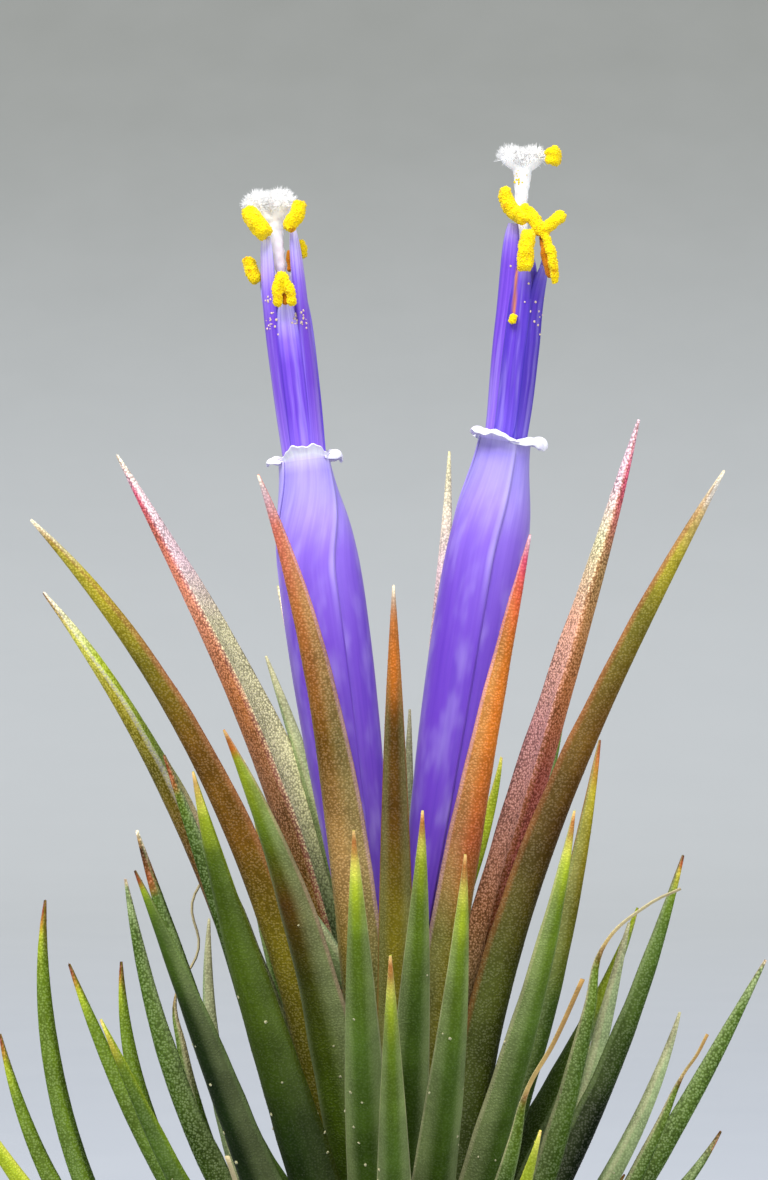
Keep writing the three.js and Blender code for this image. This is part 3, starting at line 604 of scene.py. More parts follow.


# The darkest stops low on the leaves, such as shadow, night and deep, are partly painted shade,
# where the leaves crowd over one another and the light from above doesn't reach, and partly the
# darker green of their older lower parts.
LOOKS = {name: read_look(*row) for name, row in {
    "rosy": (
        "moss, 35 bronze, 50 clay, 62 copper, 76 blush, 88 salmon, 94 rose, 96.5 silver_rose, "
        "cream",
        "moss, 30 sage, 45 milky, 72 milky, 82 shell, 94 shell, cream", "plum", 0.85),
    "ember": (
        "moss, 25 olive, 40 tan, 60 bronze, 80 copper, 92 salmon, 97.5 silver_rose, cream",
        "moss, 60 clay, coral", "silver_rose", 0.5, 0.3),
    "flame": (
        "moss, 35 olive, 50 rust, 66 orange, 82 orange, 91 coral, 96 rose, silver_rose",
        "moss, 60 rust, coral", "silver_rose", 0.4, 0.3),
    "frosted": (
        "moss, 30 russet, 50 russet, 62 copper, 80 tan, 92 rose, silver_rose",
        "sage, 30 clay, 56 mallow, 72 apricot, 83 milky, 91 silver_rose, silver_rose",
        "copper", 0.95),
    "peach": (
        "sage, 50 clay, 74 apricot, 86 shell, 92 cream, milky",
        "sage, 60 apricot, 82 shell, 92 cream, milky", "silver_rose", 0.6),
    "amber": (
        "moss, 45 olive, 62 umber, 78 umber, 88 orange, 95.5 copper, 98 fawn, cream",
        "moss, 60 bronze, orange", "copper", 0.3, 0.3),
    "citron": (
        "moss, 35 olive, 50 bronze, 64 bronze, 76 olive, 86 gold, 94 citrine, 97 honey, cream",
        "moss, 50 clay, 75 clay, 90 gold, cream", "clay", 0.45),
    "bronze": (
        "night, 30 moss, 50 umber, 65 bronze, 78 olive, 88 gold, 94 straw, 97 silver, cream",
        "moss, 50 clay, 80 clay, 93 tan, cream", "clay", 0.4, 0.1),
    "lime_brown": (
        "night, 35 moss, 55 bronze, 70 olive, 82 gold, 92 lemon, 97 straw, brown",
        "moss, 45 powder, 60 hay, 72 leaf, 88 lime, cream", "silver", 0.7),
    "shaded": (
        "night, 50 moss, 80 leaf, 95 lime, lemon",
        "night, 50 umber, 80 sage, lime", "sage", 0.7),
    "brown_tip": (
        "bottle, 50 fern, 87 leaf, 93.5 lime, 95.5 gold, 96.8 rust, dark_brown",
        "night, 60 bottle, 90 leaf, brown", "leaf", 0.5, 0.1),
    # Painted shadow: this leaf lies low on the left in deep shade, and its colours below the tip
    # are darkened for it.
    "in_shadow": (
        "deep, 62 deep, 74 night, 82 bottle, 89 fern, 94.5 leaf, 96.5 lime, 97.8 rust, dark_brown",
        "night, 60 bottle, 90 leaf, brown", "sage", 0.1, 0.32),
    "gold_tip": (
        "night, 30 meadow, 50 moss, 66 umber, 80 leaf, 90 lime, 94 lime, 96 orange, 98.5 copper, "
        "straw",
        "night, 60 bottle, 90 leaf, orange", "fawn", 0.2, 0.6),
    "front": (
        "night, 38 bottle, 60 fern, 82 leaf, 90 lime, 93.5 lemon, 95.5 honey, 98.5 copper, straw",
        "night, 60 bottle, lime", "pale_sage", 0.2, 0.5),
    "olive": (
        "night, 50 bottle, 75 olive, 90 gold, 97 rust, brown",
        "night, 60 moss, tan", "sage", 0.3, 0.3),
    "green": (
        "night, 50 bottle, 80 fern, 92 leaf, 96.5 gold, copper",
        "night, 60 bottle, lime", "sage", 0.45, 0.4),
    "bright": (
        "shadow, 35 night, 60 meadow, 86 meadow, 92.5 lime, 95 lemon, 97 honey, straw",
        "night, 60 bottle, lime", "moss", 0.18, 0.1),
    "turning": (
        "night, 40 bottle, 80 fern, 90 leaf, 95 citrine, 98 lemon, straw",
        "night, 60 fern, lime", "leaf", 0.35, 0.1),
    "fresh": (
        "fern, 40 leaf, 75 lime, 93 lime, 98 lemon, straw",
        "leaf, 60 lime, lemon", "lime", 0.3),
    "scaly": (
        "shadow, 40 night, 66 bottle, 86 fern, 92 leaf, 95 rust, brown",
        "night, 60 bottle, 90 sage, brown", "sage", 0.8, 0.12),
    "red_point": (
        "deep, 45 shadow, 66 bottle, 84 fern, 92 leaf, 96.5 citrine, 97.8 rust, dark_brown",
        "night, 60 bottle, 90 sage, brown", "sage", 0.5, 0.12),
    "scorched": (
        "night, 50 bottle, 87 fern, 89.5 rust, 92.5 brown, 96.5 dark_brown, 98 tan, cream",
        "night, 87 bottle, 92 brown, cream", "sage", 0.7, 0.12),
    "frosty": (
        "night, 40 bottle, 66 fern, 89 fern, 94.5 sage, 98.5 sage, fawn",
        "night, 60 fern, 95 sage, fawn", "sage", 0.85, 0.15),
    "pale": (
        "sage, 50 sage, 85 haze, pale_sage",
        "sage, 60 haze, pale_sage", "pale_sage", 0.4),
    "dried": (
        "night, 40 bottle, 66 fern, 80 leaf, 83.5 brown, 86 straw, 90 hay, hay",
        "night, 60 bottle, 84 hay, hay", "pale_sage", 0.6, 0.25),
    "singed": (
        "night, 40 bottle, 66 fern, 81 leaf, 83.5 brown, 85.5 straw, 88 straw, 93 tan, tan",
        "night, 60 bottle, 84 hay, tan", "pale_sage", 0.6, 0.25),
    "fading": (
        "moss, 45 leaf, 70 olive, 86 tan, brown",
        "moss, 50 leaf, 80 tan, brown", "pale_sage", 0.5),
    "papery": (
        "brown, 50 husk, 85 dry, tan",
        "brown, 60 husk, dry", "dry", 0.1),
}.items()}

# %% Paint a leaf's vertices
BAND_FADE = 0.2
FLAKES_BELOW = 0.72
STRAW_FROM = 0.85
FIELDS = {"FLOAT": "value", "FLOAT_COLOR": "color", "FLOAT_VECTOR": "vector"}


def ramp(stops, shares):
    """Colours at the given shares, mixed between the named stops."""
    places = [place for place, _ in stops]
    tones = np.array([TONES[name] for _, name in stops])
    return np.stack([np.interp(shares, places, tones[:, c]) for c in range(4)], axis=1)


def over(colours, name, share):
    """Colours with a named one laid over a share of each."""
    return colours * (1 - share) + np.array(TONES[name]) * share


def read(mesh, name):
    """A number kept at each vertex."""
    values = np.zeros(len(mesh.vertices), np.float32)
    mesh.attributes[name].data.foreach_get("value", values)
    return values


def keep(mesh, name, values, kind="FLOAT"):
    """Keeps a number, a colour or a vector at each vertex."""
    layer = mesh.attributes.new(name, kind, "POINT")
    layer.data.foreach_set(FIELDS[kind], np.asarray(values, np.float32).ravel())


def paint(piece, look, blade_share):
    """Keeps a leaf's colours on its vertices. A withered thread has the look's last part."""
    mesh = piece.data
    shares = np.clip(read(mesh, "share"), 0, 1)
    if blade_share < 1:
        shares = np.interp(shares, [0, blade_share, 1], [0, STRAW_FROM, 1])
    inside = np.clip(read(mesh, "face") * 1.6 + 0.5, 0, 1)[:, None]
    colours = ramp(look.outer, shares) * (1 - inside) + ramp(look.inner, shares) * inside
    keep(mesh, "tint", colours, "FLOAT_COLOR")
    keep(mesh, "edge", over(colours, look.edge, 0.5), "FLOAT_COLOR")
    bare = (shares > STRAW_FROM) & (blade_share < 1)
    keep(mesh, "frost", np.where(bare, 0, look.frost))
    keep(mesh, "dust", np.where(shares < FLAKES_BELOW, look.frost < 0.5, 0))
    fade = np.clip((1 - shares) / BAND_FADE, 0, 1)
    keep(mesh, "band", look.band * fade * (1 - inside[:, 0]))


print("looks:", len(LOOKS))

# %% [markdown]
# ## The midrib of a leaf
# Each blade follows one cubic curve: it leaves the stem at one slope and reaches the tip at
# another. A Bezier spline of two points says exactly that. A few leaves end in a withered
# thread, and their curve goes on through the thread's own points.

# %% Build a midrib
CURVE_STEPS = 24
BLADE_KNOTS = 8


def radii_at(profile, levels):
    """The radius of a turned profile at one level or several."""
    return np.interp(levels, [level for _, level in profile], [radius for radius, _ in profile])


def heading(bearing, slope=0.0):
    """A direction that points out at a bearing and up at a slope, in radians."""
    flat = math.cos(slope)
    return Vector((flat * math.cos(bearing), flat * math.sin(bearing), math.sin(slope)))


def leaf_points(row, profile, sink):
    """The four points of a leaf's cubic midrib, and the bearings of its base and tip."""
    tip = Vector(row.tip)
    tip_bearing = math.atan2(tip.y, tip.x)
    base_bearing = tip_bearing + math.radians(row.turn)
    base = heading(base_bearing) * float(radii_at(profile, row.base) - sink)
    base.z = row.base
    span = (tip - base).length
    first = base + heading(base_bearing, math.radians(row.launch)) * span * LAUNCH_REACH
    second = tip - heading(tip_bearing, math.radians(row.lean)) * span * TIP_REACH
    return [point * MM for point in (base, first, second, tip)], base_bearing, tip_bearing


def on_cubic(points, share):
    a, b, c, d = points
    rest = 1 - share
    return (a * rest ** 3 + b * 3 * rest * rest * share
            + c * 3 * rest * share * share + d * share ** 3)


def path_length(points):
    return sum((b - a).length for a, b in zip(points, points[1:]))


def curve_data(name, steps):
    data = bpy.data.curves.new(name, "CURVE")
    data.dimensions = "3D"
    data.resolution_u = steps
    return data


def add_line(data, points):
    """A smooth Bezier spline through points."""
    knots = data.splines.new("BEZIER").bezier_points
    knots.add(len(points) - 1)
    for knot, point in zip(knots, points):
        knot.co = point
        knot.handle_left_type = knot.handle_right_type = "AUTO"
    return knots


def curve_object(name, points, handles=None):
    """A Bezier curve through points, with smooth handles unless two are given."""
    data = curve_data(name, CURVE_STEPS)
    knots = add_line(data, points)
    if handles:
        for knot in knots:
            knot.handle_left_type = knot.handle_right_type = "FREE"
        start, end = knots
        start.handle_left, start.handle_right = points[0], handles[0]
        end.handle_left, end.handle_right = handles[1], points[1]
    return placed(name, data)


def leaf_midrib(row, profile, sink, straw):
    points, *bearings = leaf_points(row, profile, sink)
    if not straw:
        return curve_object("midrib", [points[0], points[3]], points[1:3]), 1.0, *bearings
    blade = [on_cubic(points, i / (BLADE_KNOTS - 1)) for i in range(BLADE_KNOTS)]
    thread = [Vector(point) * MM for point in straw]
    share = path_length(blade) / path_length(blade + thread)
    return curve_object("midrib", blade + thread), share, *bearings


# %% [markdown]
# ## All the leaves
# The tree runs once for each leaf, its result becomes a plain mesh, and the mesh is painted.
# Each piece rides the one body of this plant and stands for its CAD node. The heart and the
# stem each carry several leaves grown together with them, so several pieces stand for one node.

# %% Grow the leaves
LEAF_SIDES, LEAF_ROWS = 22, 52
LEAF_THICKNESS = 1.45 * MM
TIP_THICKNESS = 0.16 * MM
TIP_WIDTH = 0.14 * MM
STRAW_WIDTH = 0.3 * MM
WIDTH_TAPER = 20 * MM
WIDTH_GAIN = 1.14
THICKNESS_TAPER = 7 * MM
LEAF_RIPPLE = 0.5 * MM
BLUSHING = 8
HEART_SEED, STEM_SEED = 100, 200


def stands_for(piece, slot, *nodes):
    """Rides the plant's body and hides the CAD nodes it takes the place of. The slot argument is
    not used.
    """
    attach(piece, "root")
    if nodes:
        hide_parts(*nodes)
    return piece


def grow_blade(name, midrib, bearings, **sizes):
    """A blade along a midrib, which isn't needed after it."""
    base, tip = bearings
    piece = grown(name, BLADE, Midrib=midrib, BaseBearing=base, TipBearing=tip, **sizes)
    bpy.data.curves.remove(midrib.data)
    return piece


def grow_leaf(name, row, profile, sink, seed):
    straw = STRAW_TIPS.get(name)
    midrib, share, *bearings = leaf_midrib(row, profile, sink, straw)
    twist = math.radians(row.twist)
    piece = grow_blade(
        f"blade_{name}", midrib, [bearing + twist for bearing in bearings],
        Around=LEAF_SIDES, Along=LEAF_ROWS, Width=row.width * WIDTH_GAIN * MM,
        TipWidth=STRAW_WIDTH if straw else TIP_WIDTH, WidthTaper=WIDTH_TAPER,
        Thickness=LEAF_THICKNESS, TipThickness=TIP_THICKNESS, ThicknessTaper=THICKNESS_TAPER,
        Channel=row.channel, BladeShare=share, Ripple=LEAF_RIPPLE, Seed=float(seed),
        Finish=LEAF_SKIN)
    paint(piece, LOOKS[row.look], share)
    return piece


def slot_of(name):
    """A slot name for a leaf: the blushing inner leaves apart from the green ones."""
    ring, number = name.split("_")
    return "leaf_blush" if ring == "inner" and int(number) <= BLUSHING else "leaf_green"


rings = {"inner": [], "mid": [], "outer": [], "heart": [], "stem": []}
for seed, (name, row) in enumerate(LEAVES.items()):
    blade = grow_leaf(name, row, STEM_PROFILE, LEAF_SINK, seed)
    rings[name.split("_")[0]].append(stands_for(blade, slot_of(name), f"leaf_{name}"))
for seed, (name, row) in enumerate(HEART_LEAVES.items(), HEART_SEED):
    blade = grow_leaf(name, row, HEART_PROFILE, HEART_SINK, seed)
    rings["heart"].append(stands_for(blade, "leaf_heart", "heart"))
for seed, (name, row) in enumerate(OLD_LEAVES.items(), STEM_SEED):
    blade = grow_leaf(name, row, STEM_PROFILE, LEAF_SINK, seed)
    slot = "husk" if row.look == "papery" else "leaf_green"
    rings["stem"].append(stands_for(blade, slot, "stem"))
print("blades:", {ring: len(blades) for ring, blades in rings.items()})

# %% [markdown]
# ## The silvery scales
# Seen against the light the scales stand up from the leaf like frost. There are thousands, so
# a second tree scatters them: points on the blades, more of them towards the margins, and on
# each point a three sided scale of four faces that leans towards the leaf's tip. One piece holds
# the scales of a whole ring.

# %% Helpers for scattering
def named(tree, name, kind="FLOAT"):
    """A value that the geometry keeps."""
    node = add(tree, "GeometryNodeInputNamedAttribute", {"Name": name}, data_type=kind)
    return enabled(node.outputs, "Attribute")


def drawn(tree, low, high, seed, kind="FLOAT"):
    """A random value for each point."""
    node = add(tree, "FunctionNodeRandomValue", {"Seed": seed}, data_type=kind)
    put(enabled(node.inputs, "Min"), low)
    put(enabled(node.inputs, "Max"), high)
    return enabled(node.outputs, "Value")


def wobble(tree, size, seed):
    """A small random vector for each point."""
    return drawn(tree, (-size,) * 3, (size,) * 3, seed, "FLOAT_VECTOR")


def points_on(bodies, method, **inputs):
    """Points scattered on every body of a collection."""
    tree = bodies.id_data
    whole = add(tree, "GeometryNodeCollectionInfo", {"Collection": bodies}).outputs[0]
    skin = add(tree, "GeometryNodeRealizeInstances", {"Geometry": whole}).outputs[0]
    named_inputs = {title.replace("_", " "): value for title, value in inputs.items()}
    return add(tree, "GeometryNodeDistributePointsOnFaces", {
        "Mesh": skin, **named_inputs}, distribute_method=method).outputs


def facing(way, axis, **more):
    """A rotation that turns an axis towards a direction."""
    return add(way.id_data, "FunctionNodeAlignRotationToVector", {
        "Vector": way, **more}, axis=axis, pivot_axis="Z" if more else "AUTO").outputs[0]


def cone(tree, sides, top, fill):
    return add(tree, "GeometryNodeMeshCone", {
        "Vertices": sides, "Radius Top": top, "Radius Bottom": 1.0, "Depth": 1.0,
    }, fill_type=fill).outputs["Mesh"]


def planted(points, body, turn, size, finish):
    """Ends a tree with a small body on each point."""
    done = add(turn.id_data, "GeometryNodeInstanceOnPoints", {
        "Points": points, "Instance": body, "Rotation": turn, "Scale": size})
    return close_tree(done.outputs[0], finish)


def triangles(piece):
    piece.data.calc_loop_triangles()
    return len(piece.data.loop_triangles)


def coated(name, tree, bodies, slot, **values):
    """One piece of everything that a tree scatters on some bodies."""
    basket = bpy.data.collections.new(name)
    scene.collection.children.link(basket)
    for body in bodies:
        basket.objects.link(body)
    coat = grown(name, tree, Body=basket, **values)
    bpy.data.collections.remove(basket)
    print(name, "triangles:", triangles(coat))
    return stands_for(coat, slot)


# %% Scatter the scales
SCALE_LENGTH = 0.085 * MM
SCALE_WIDTH = 0.028 * MM
SCALE_THICKNESS = 0.45
SCALE_LIFT = 0.35
SCALE_SEED = 31
MOST_SCALES = 90e6
BARE_BASE = 0.12
FEWEST = 0.1
ON_MARGIN, ON_FACE = 0.8, 0.5
SPACING = {"inner": 0.13, "mid": 0.14, "outer": 0.14, "heart": 0.15, "stem": 0.26}
SCALE_SLOTS = {"inner": "leaf_blush", "heart": "leaf_heart"}


def scale_tree():
    tree, given = new_tree("leaf_scales", Collection="Body", Float="Spacing Length Width",
                           Int="Seed", Material="Finish")
    margin = calc("POWER", calc("ABSOLUTE", named(tree, "across")), 3.0)
    amount = times(plus(named(tree, "frost"), FEWEST),
                   times_plus(margin, ON_MARGIN, ON_FACE))
    shown = calc("GREATER_THAN", named(tree, "share"), BARE_BASE)
    spread = points_on(given["Body"], "POISSON", Seed=given["Seed"],
                       Distance_Min=given["Spacing"], Density_Max=MOST_SCALES,
                       Density_Factor=times(amount, shown))
    away = arrow("ADD", stretched(spread["Normal"], SCALE_LIFT), arrow(
        "ADD", named(tree, "tipward", "FLOAT_VECTOR"), wobble(tree, 0.35, 7)))
    turn = facing(spread["Normal"], "Y", Rotation=facing(away, "Z"))
    size = drawn(tree, 0.6, 1.25, 11)
    wide = times(size, given["Width"])
    shape = vector(tree, wide, times(wide, SCALE_THICKNESS), times(size, given["Length"]))
    return planted(spread["Points"], cone(tree, 3, 0.0, "NGON"), turn, shape, given["Finish"])


SCALES = scale_tree()
for seed, (ring, blades) in enumerate(rings.items(), SCALE_SEED):
    coated(f"scales_{ring}", SCALES, blades, SCALE_SLOTS.get(ring, "leaf_green"),
           Spacing=SPACING[ring] * MM, Length=SCALE_LENGTH, Width=SCALE_WIDTH, Seed=seed,
           Finish=LEAF_SCALE)

# %% [markdown]
# ## Petals
# A flower of the sky plant is a tube of three long petals rolled round one another, each with
# one margin over its neighbour and one under. At the mouth the tips turn out and roll back into
# a small white frill. Each petal is a thin closed sheet over a grid of points: its rows follow
# the tube's profile and then a small arc, which is the frill.

# %% Driving sizes of the flowers
TUBE_PROFILE = [
    (1.42, 0.0), (1.4, 0.5), (1.54, 1.4), (1.92, 2.7), (2.25, 4.8), (2.4, 7.5),
    (2.38, 12.0), (2.2, 17.0), (1.85, 22.5), (1.4, 27.5), (1.2, 30.6),
]
TUBE_DEPTH = TUBE_PROFILE[-1][1]
PETAL_TURN = 120
PETAL_LAP = 0.07
PETAL_UNDER = 0.1
PETAL_THICKNESS = 0.13
FILAMENT_RING = 1.0
FILAMENT_WIDTH = 1.36
FILAMENT_THICKNESS = 0.66

Flower = namedtuple(
    "Flower", "foot mouth crown lap twist turn filaments style lobes lobe_radius arch frills")

FLOWERS = {
    "left": Flower(
        (-1.5, -1.5, 29.8), (-5.6, -0.6, 59.9), (-6.75, -0.7, 69.4), 90, -44, 208,
        [(-7.85, -1.45, 73.0, 0.9), (-6.75, -1.85, 69.4, 0.5), (-6.3, -0.9, 73.8, 0.3),
         (-6.4, 0.6, 71.0, 0.4), (-7.3, 0.9, 71.2, 0.4), (-8.1, 0.1, 70.6, 0.4)],
        [(-6.95, -0.5, 70.6), (-7.15, -0.35, 72.4), (-7.4, -0.35, 73.8)],
        [(-8.6, -0.8, 75.05), (-6.75, -0.75, 75.2), (-7.7, 0.7, 74.8)], 0.52, -0.3,
        [(1.4, 170), (1.0, 60), (1.7, 205)]),
    "right": Flower(
        (1.0, 1.6, 29.8), (6.2, 0.6, 61.1), (7.3, 0.4, 70.6), 50, -17, 262,
        [(7.3, -0.85, 71.4, 0.6), (8.45, -0.75, 71.4, 0.5), (8.6, 0.4, 72.2, 0.4),
         (7.75, 1.5, 72.0, 0.4), (6.7, 1.45, 72.4, 0.4), (6.65, -0.4, 73.9, 0.7)],
        [(7.25, 0.45, 71.6), (7.15, 0.4, 74.9), (7.2, 0.15, 77.0)],
        [(6.2, 0.0, 77.85), (8.15, 0.0, 77.8), (7.15, 1.2, 77.6)], 0.44, 0.2,
        [(1.6, 180), (1.5, 150), (1.7, 190)]),
}

ANTHERS = {
    "anther_left_1": [[0.54, (-9.0, -1.6, 74.6), (-8.4, -2.0, 73.85), (-7.8, -2.1, 73.0)]],
    "anther_left_2": [[0.46, (-5.85, -1.9, 75.1), (-6.0, -1.95, 74.4), (-6.6, -2.0, 73.4)]],
    "anther_left_3": [[0.4, (-8.95, -0.3, 71.85), (-8.75, -0.4, 71.2), (-8.35, -0.5, 70.4)]],
    "anther_left_4": [
        [0.3, (-6.9, -2.75, 70.9), (-7.1, -2.75, 70.1), (-7.15, -2.6, 68.9)],
        [0.29, (-6.85, -2.75, 70.8), (-6.5, -2.75, 70.0), (-6.2, -2.55, 68.95)]],
    "anther_left_5": [[0.3, (-5.95, -0.2, 72.9), (-5.75, -0.1, 72.4), (-5.7, 0.0, 71.9)]],
    "anthers_right": [
        [0.43, (6.05, -1.2, 75.9), (6.4, -1.4, 74.8), (7.4, -1.6, 73.9)],
        [0.4, (7.1, -1.3, 74.8), (7.7, -1.5, 74.2), (8.4, -1.6, 73.2)],
        [0.38, (9.6, -1.3, 74.4), (9.0, -1.5, 73.9), (8.3, -1.6, 73.3)],
        [0.48, (7.5, -1.6, 73.4), (7.35, -1.9, 72.2), (7.3, -1.8, 71.0)],
        [0.28, (8.35, -1.6, 73.4), (8.85, -1.8, 72.0), (9.1, -1.6, 70.3)]],
    "anther_right_top": [[0.46, (8.8, -0.8, 78.3), (9.0, -0.8, 77.9), (8.9, -0.8, 77.3)]],
}
SPENT_SACS = {
    "spent_left": [
        [0.24, (-6.86, -2.5, 70.4), (-6.75, -2.45, 69.7), (-6.66, -2.35, 69.0)],
        [0.17, (-6.55, -0.9, 72.3), (-6.52, -0.9, 71.7), (-6.5, -0.9, 71.0)]],
    "spent_right": [
        [0.24, (8.3, -1.4, 73.1), (8.5, -1.5, 71.9), (8.8, -1.35, 70.6)]],
}
CRUMB = [[0.25, (6.72, -0.95, 68.5), (6.62, -1.05, 68.22), (6.55, -0.95, 68.0)]]
print("flowers:", len(FLOWERS), "groups of pollen sacs:", len(ANTHERS) + len(SPENT_SACS))


# %% Flower materials
GROOVE_SHADE_TONE = (0.7, 0.64, 0.86, 1)


def veined_skin(name, sheen, vein_scale, groove_shade_depth, cloud_scale, cloud_depth):
    """A soft skin tinted by its vertices, with fine lines along it whose grooves carry painted
    shade, and soft clouds.
    """
    material, tree, shader = plain_material(name, 0.42, 0.3, sheen)
    lay = attribute(tree, "lay", "Vector")
    vein = clouds(arrow("MULTIPLY", lay, vein_scale), 1.0, 3.0)
    cloud = clouds(arrow("MULTIPLY", lay, cloud_scale), 1.0, 2.0)
    tint = attribute(tree, "tint", "Color")
    # Painted shade: the tint is darkened in the grooves between the fine ribs that the bump raises.
    deep = mixed(1.0, tint, GROOVE_SHADE_TONE, "MULTIPLY")
    ribbed_with_painted_shade = mixed(ranged(vein, 0.62, 0.34, 0.0, groove_shade_depth), tint, deep)
    cover = ranged(cloud, 0.45, 0.75, 0.0, cloud_depth)
    coloured(shader, mixed(cover, ribbed_with_painted_shade, TONES["pale_lilac"]))
    fleshy(shader, 0.12, (0.9, 0.6, 1.0), 0.4)
    bumped(shader, vein, 0.03, 0.4)
    return material


PETAL_SKIN = veined_skin(
    "petal_skin", 0.08, (4200.0, 90.0, 1.0), 0.42, (900.0, 260.0, 1.0), 0.2)
FILAMENT_SKIN = veined_skin(
    "filament_skin", 0.05, (7000.0, 60.0, 1.0), 1.0, (2600.0, 150.0, 1.0), 0.2)


# %% A thin closed sheet over a grid of points
def plain_mesh(name, points, faces, finish):
    mesh = bpy.data.meshes.new(name)
    mesh.from_pydata([tuple(p) for p in points], [], [tuple(f) for f in faces])
    mesh.polygons.foreach_set("use_smooth", [True] * len(mesh.polygons))
    mesh.materials.append(finish)
    mesh.update()
    return placed(name, mesh)


def sheet(name, places, thickness, finish):
    """A shell: the grid moved out by half its thickness, moved in, and a rim between."""
    rows, columns = places.shape[:2]
    away = np.cross(np.gradient(places, axis=1), np.gradient(places, axis=0))
    away /= np.linalg.norm(away, axis=2, keepdims=True)
    half = away * thickness[..., None] / 2
    points = np.concatenate([(places + half).reshape(-1, 3), (places - half).reshape(-1, 3)])
    count = rows * columns
    number = np.arange(count).reshape(rows, columns)
    front = np.stack([number[:-1, :-1], number[:-1, 1:], number[1:, 1:], number[1:, :-1]], -1)
    front = front.reshape(-1, 4)
    rim = np.concatenate([number[0], number[1:, -1], number[-1, -2::-1], number[-2:0:-1, 0]])
    after = np.roll(rim, -1)
    edge = np.stack([after, rim, rim + count, after + count], axis=1)
    faces = np.concatenate([front, front[:, ::-1] + count, edge])
    return plain_mesh(name, points, faces, finish)


def smooth_step(value, low, high):
    share = np.clip((value - low) / (high - low), 0, 1)
    return share * share * (3 - 2 * share)


# %% Roll the petals
PETAL_ROWS = 84
FRILL_ROWS = 22
PETAL_COLUMNS = 40
PETAL_BREADTH = 4.5 * MM
SMOOTHED_ROWS = 9
TWIST_REACH = 7.0
LOOSE_DEPTH, SNUG_DEPTH = 4, TWIST_REACH * 1.6
SNUGNESS = 0.6
LOBE_BASE, LOBE_POWER = 0.2, 0.8
WAVE_OUT = 0.4
FRILL_WAVES = [(17, 2.1, 0, 0.1), (41, 5.3, 1, 0.05)]
# The tube is paler towards the mouth: partly the paler tips of the petals, and partly a painted
# highlight where the light from above falls on the top of the tube.
PETAL_TONES = [
    (-1, "white"), (-0.4, "white"), (-0.1, "pale_lilac"), (0.6, "lilac"), (2.0, "lilac"),
    (3.7, "wisteria"), (5.6, "mauve"), (12, "violet"), (20, "violet"), (30, "violet"),
]
PETAL_SHADE = 0.84
HEART_DEPTH = 0.62
HEART_FROM, HEART_TO = 4.5, 10.0
# The paler seam is a painted highlight along the rolled margin where one petal lies over the next,
# high up on the tube.
SEAM_PALENESS = 0.35
SEAM_FROM, SEAM_TO = 0.92, 1.02
SEAM_FOOT, SEAM_TOP = -11, -5


def petal_grid(flower, number):
    """Points of one petal, with how far each lies below the mouth and across the petal."""
    foot, mouth = Vector(flower.foot), Vector(flower.mouth)
    axis = (mouth - foot).normalized()
    right = (Vector((1, 0, 0)) - axis * axis.x).normalized()
    axis, right, back = (np.array(v) for v in (axis, right, axis.cross(right)))
    length = (mouth - foot).length
    reach, roll = flower.frills[number]
    across = np.linspace(-PETAL_UNDER, 1.0 + PETAL_UNDER / 2, PETAL_COLUMNS)
    start = flower.lap + PETAL_TURN * number + PETAL_TURN * across
    lap = PETAL_LAP * (2 * across - 1)
    arch = np.sin(np.pi * np.clip(across, 0.02, 0.98)) ** LOBE_POWER
    lobe = LOBE_BASE + (1 - LOBE_BASE) * arch
    below = np.linspace(TUBE_DEPTH, 0, PETAL_ROWS)
    radii = np.convolve(np.pad(radii_at(TUBE_PROFILE, below), SMOOTHED_ROWS // 2, "edge"),
                        np.ones(SMOOTHED_ROWS) / SMOOTHED_ROWS, "valid")
    grid = []
    for distance, radius in zip(below, radii):
        height = length * (1 - distance / TUBE_DEPTH)
        angle = np.radians(start + flower.twist * smooth_step(distance, 0, TWIST_REACH))
        outward = np.cos(angle)[:, None] * right + np.sin(angle)[:, None] * back
        snug = 1 - SNUGNESS * smooth_step(distance, LOOSE_DEPTH, SNUG_DEPTH)
        grid.append(axis * height + outward * (radius + lap * snug)[:, None])
    for step in range(1, FRILL_ROWS + 1):
        share = step / FRILL_ROWS
        turn = math.radians(roll) * share
        bend = reach * lobe / math.radians(roll)
        wave = sum(np.sin(across * fine + number * shift + share * drift) * size
                   for fine, shift, drift, size in FRILL_WAVES) * share
        out = radii[-1] + lap + bend * (1 - math.cos(turn)) + wave * WAVE_OUT
        up = length + bend * math.sin(turn) + wave * lobe
        grid.append(axis * up[:, None] + outward * out[:, None])
    depth = np.concatenate([below, -np.arange(1, FRILL_ROWS + 1) / FRILL_ROWS])
    places = (np.array(grid) + np.array(flower.foot)) * MM
    return places, *np.meshgrid(depth, across, indexing="ij")


def paint_petal(piece, depth, across):
    """Violet below, paler at the mouth, partly as a painted highlight, with a painted highlight
    along the overlapping margins, and white on the frill.
    """
    off_middle = np.abs(2 * across - 1)
    middle = 1 - off_middle ** 1.5
    heart = smooth_step(depth, HEART_FROM, HEART_TO) * middle * HEART_DEPTH
    # Painted highlight along the seam, fading down the tube.
    high_up = smooth_step(-depth, SEAM_FOOT, SEAM_TOP)
    seam = smooth_step(off_middle, SEAM_FROM, SEAM_TO) * high_up
    colours = over(ramp(PETAL_TONES, depth.ravel()), "violet", heart.reshape(-1, 1))
    colours = over(colours, "pale_lilac", (seam * SEAM_PALENESS).reshape(-1, 1))
    colours = colours * np.where(depth < 0, 1, PETAL_SHADE).reshape(-1, 1)
    lay = np.stack([across * PETAL_BREADTH, depth * MM, depth * 0], axis=-1).reshape(-1, 3)
    keep(piece.data, "tint", np.concatenate([colours, colours]), "FLOAT_COLOR")
    keep(piece.data, "lay", np.concatenate([lay, lay]), "FLOAT_VECTOR")


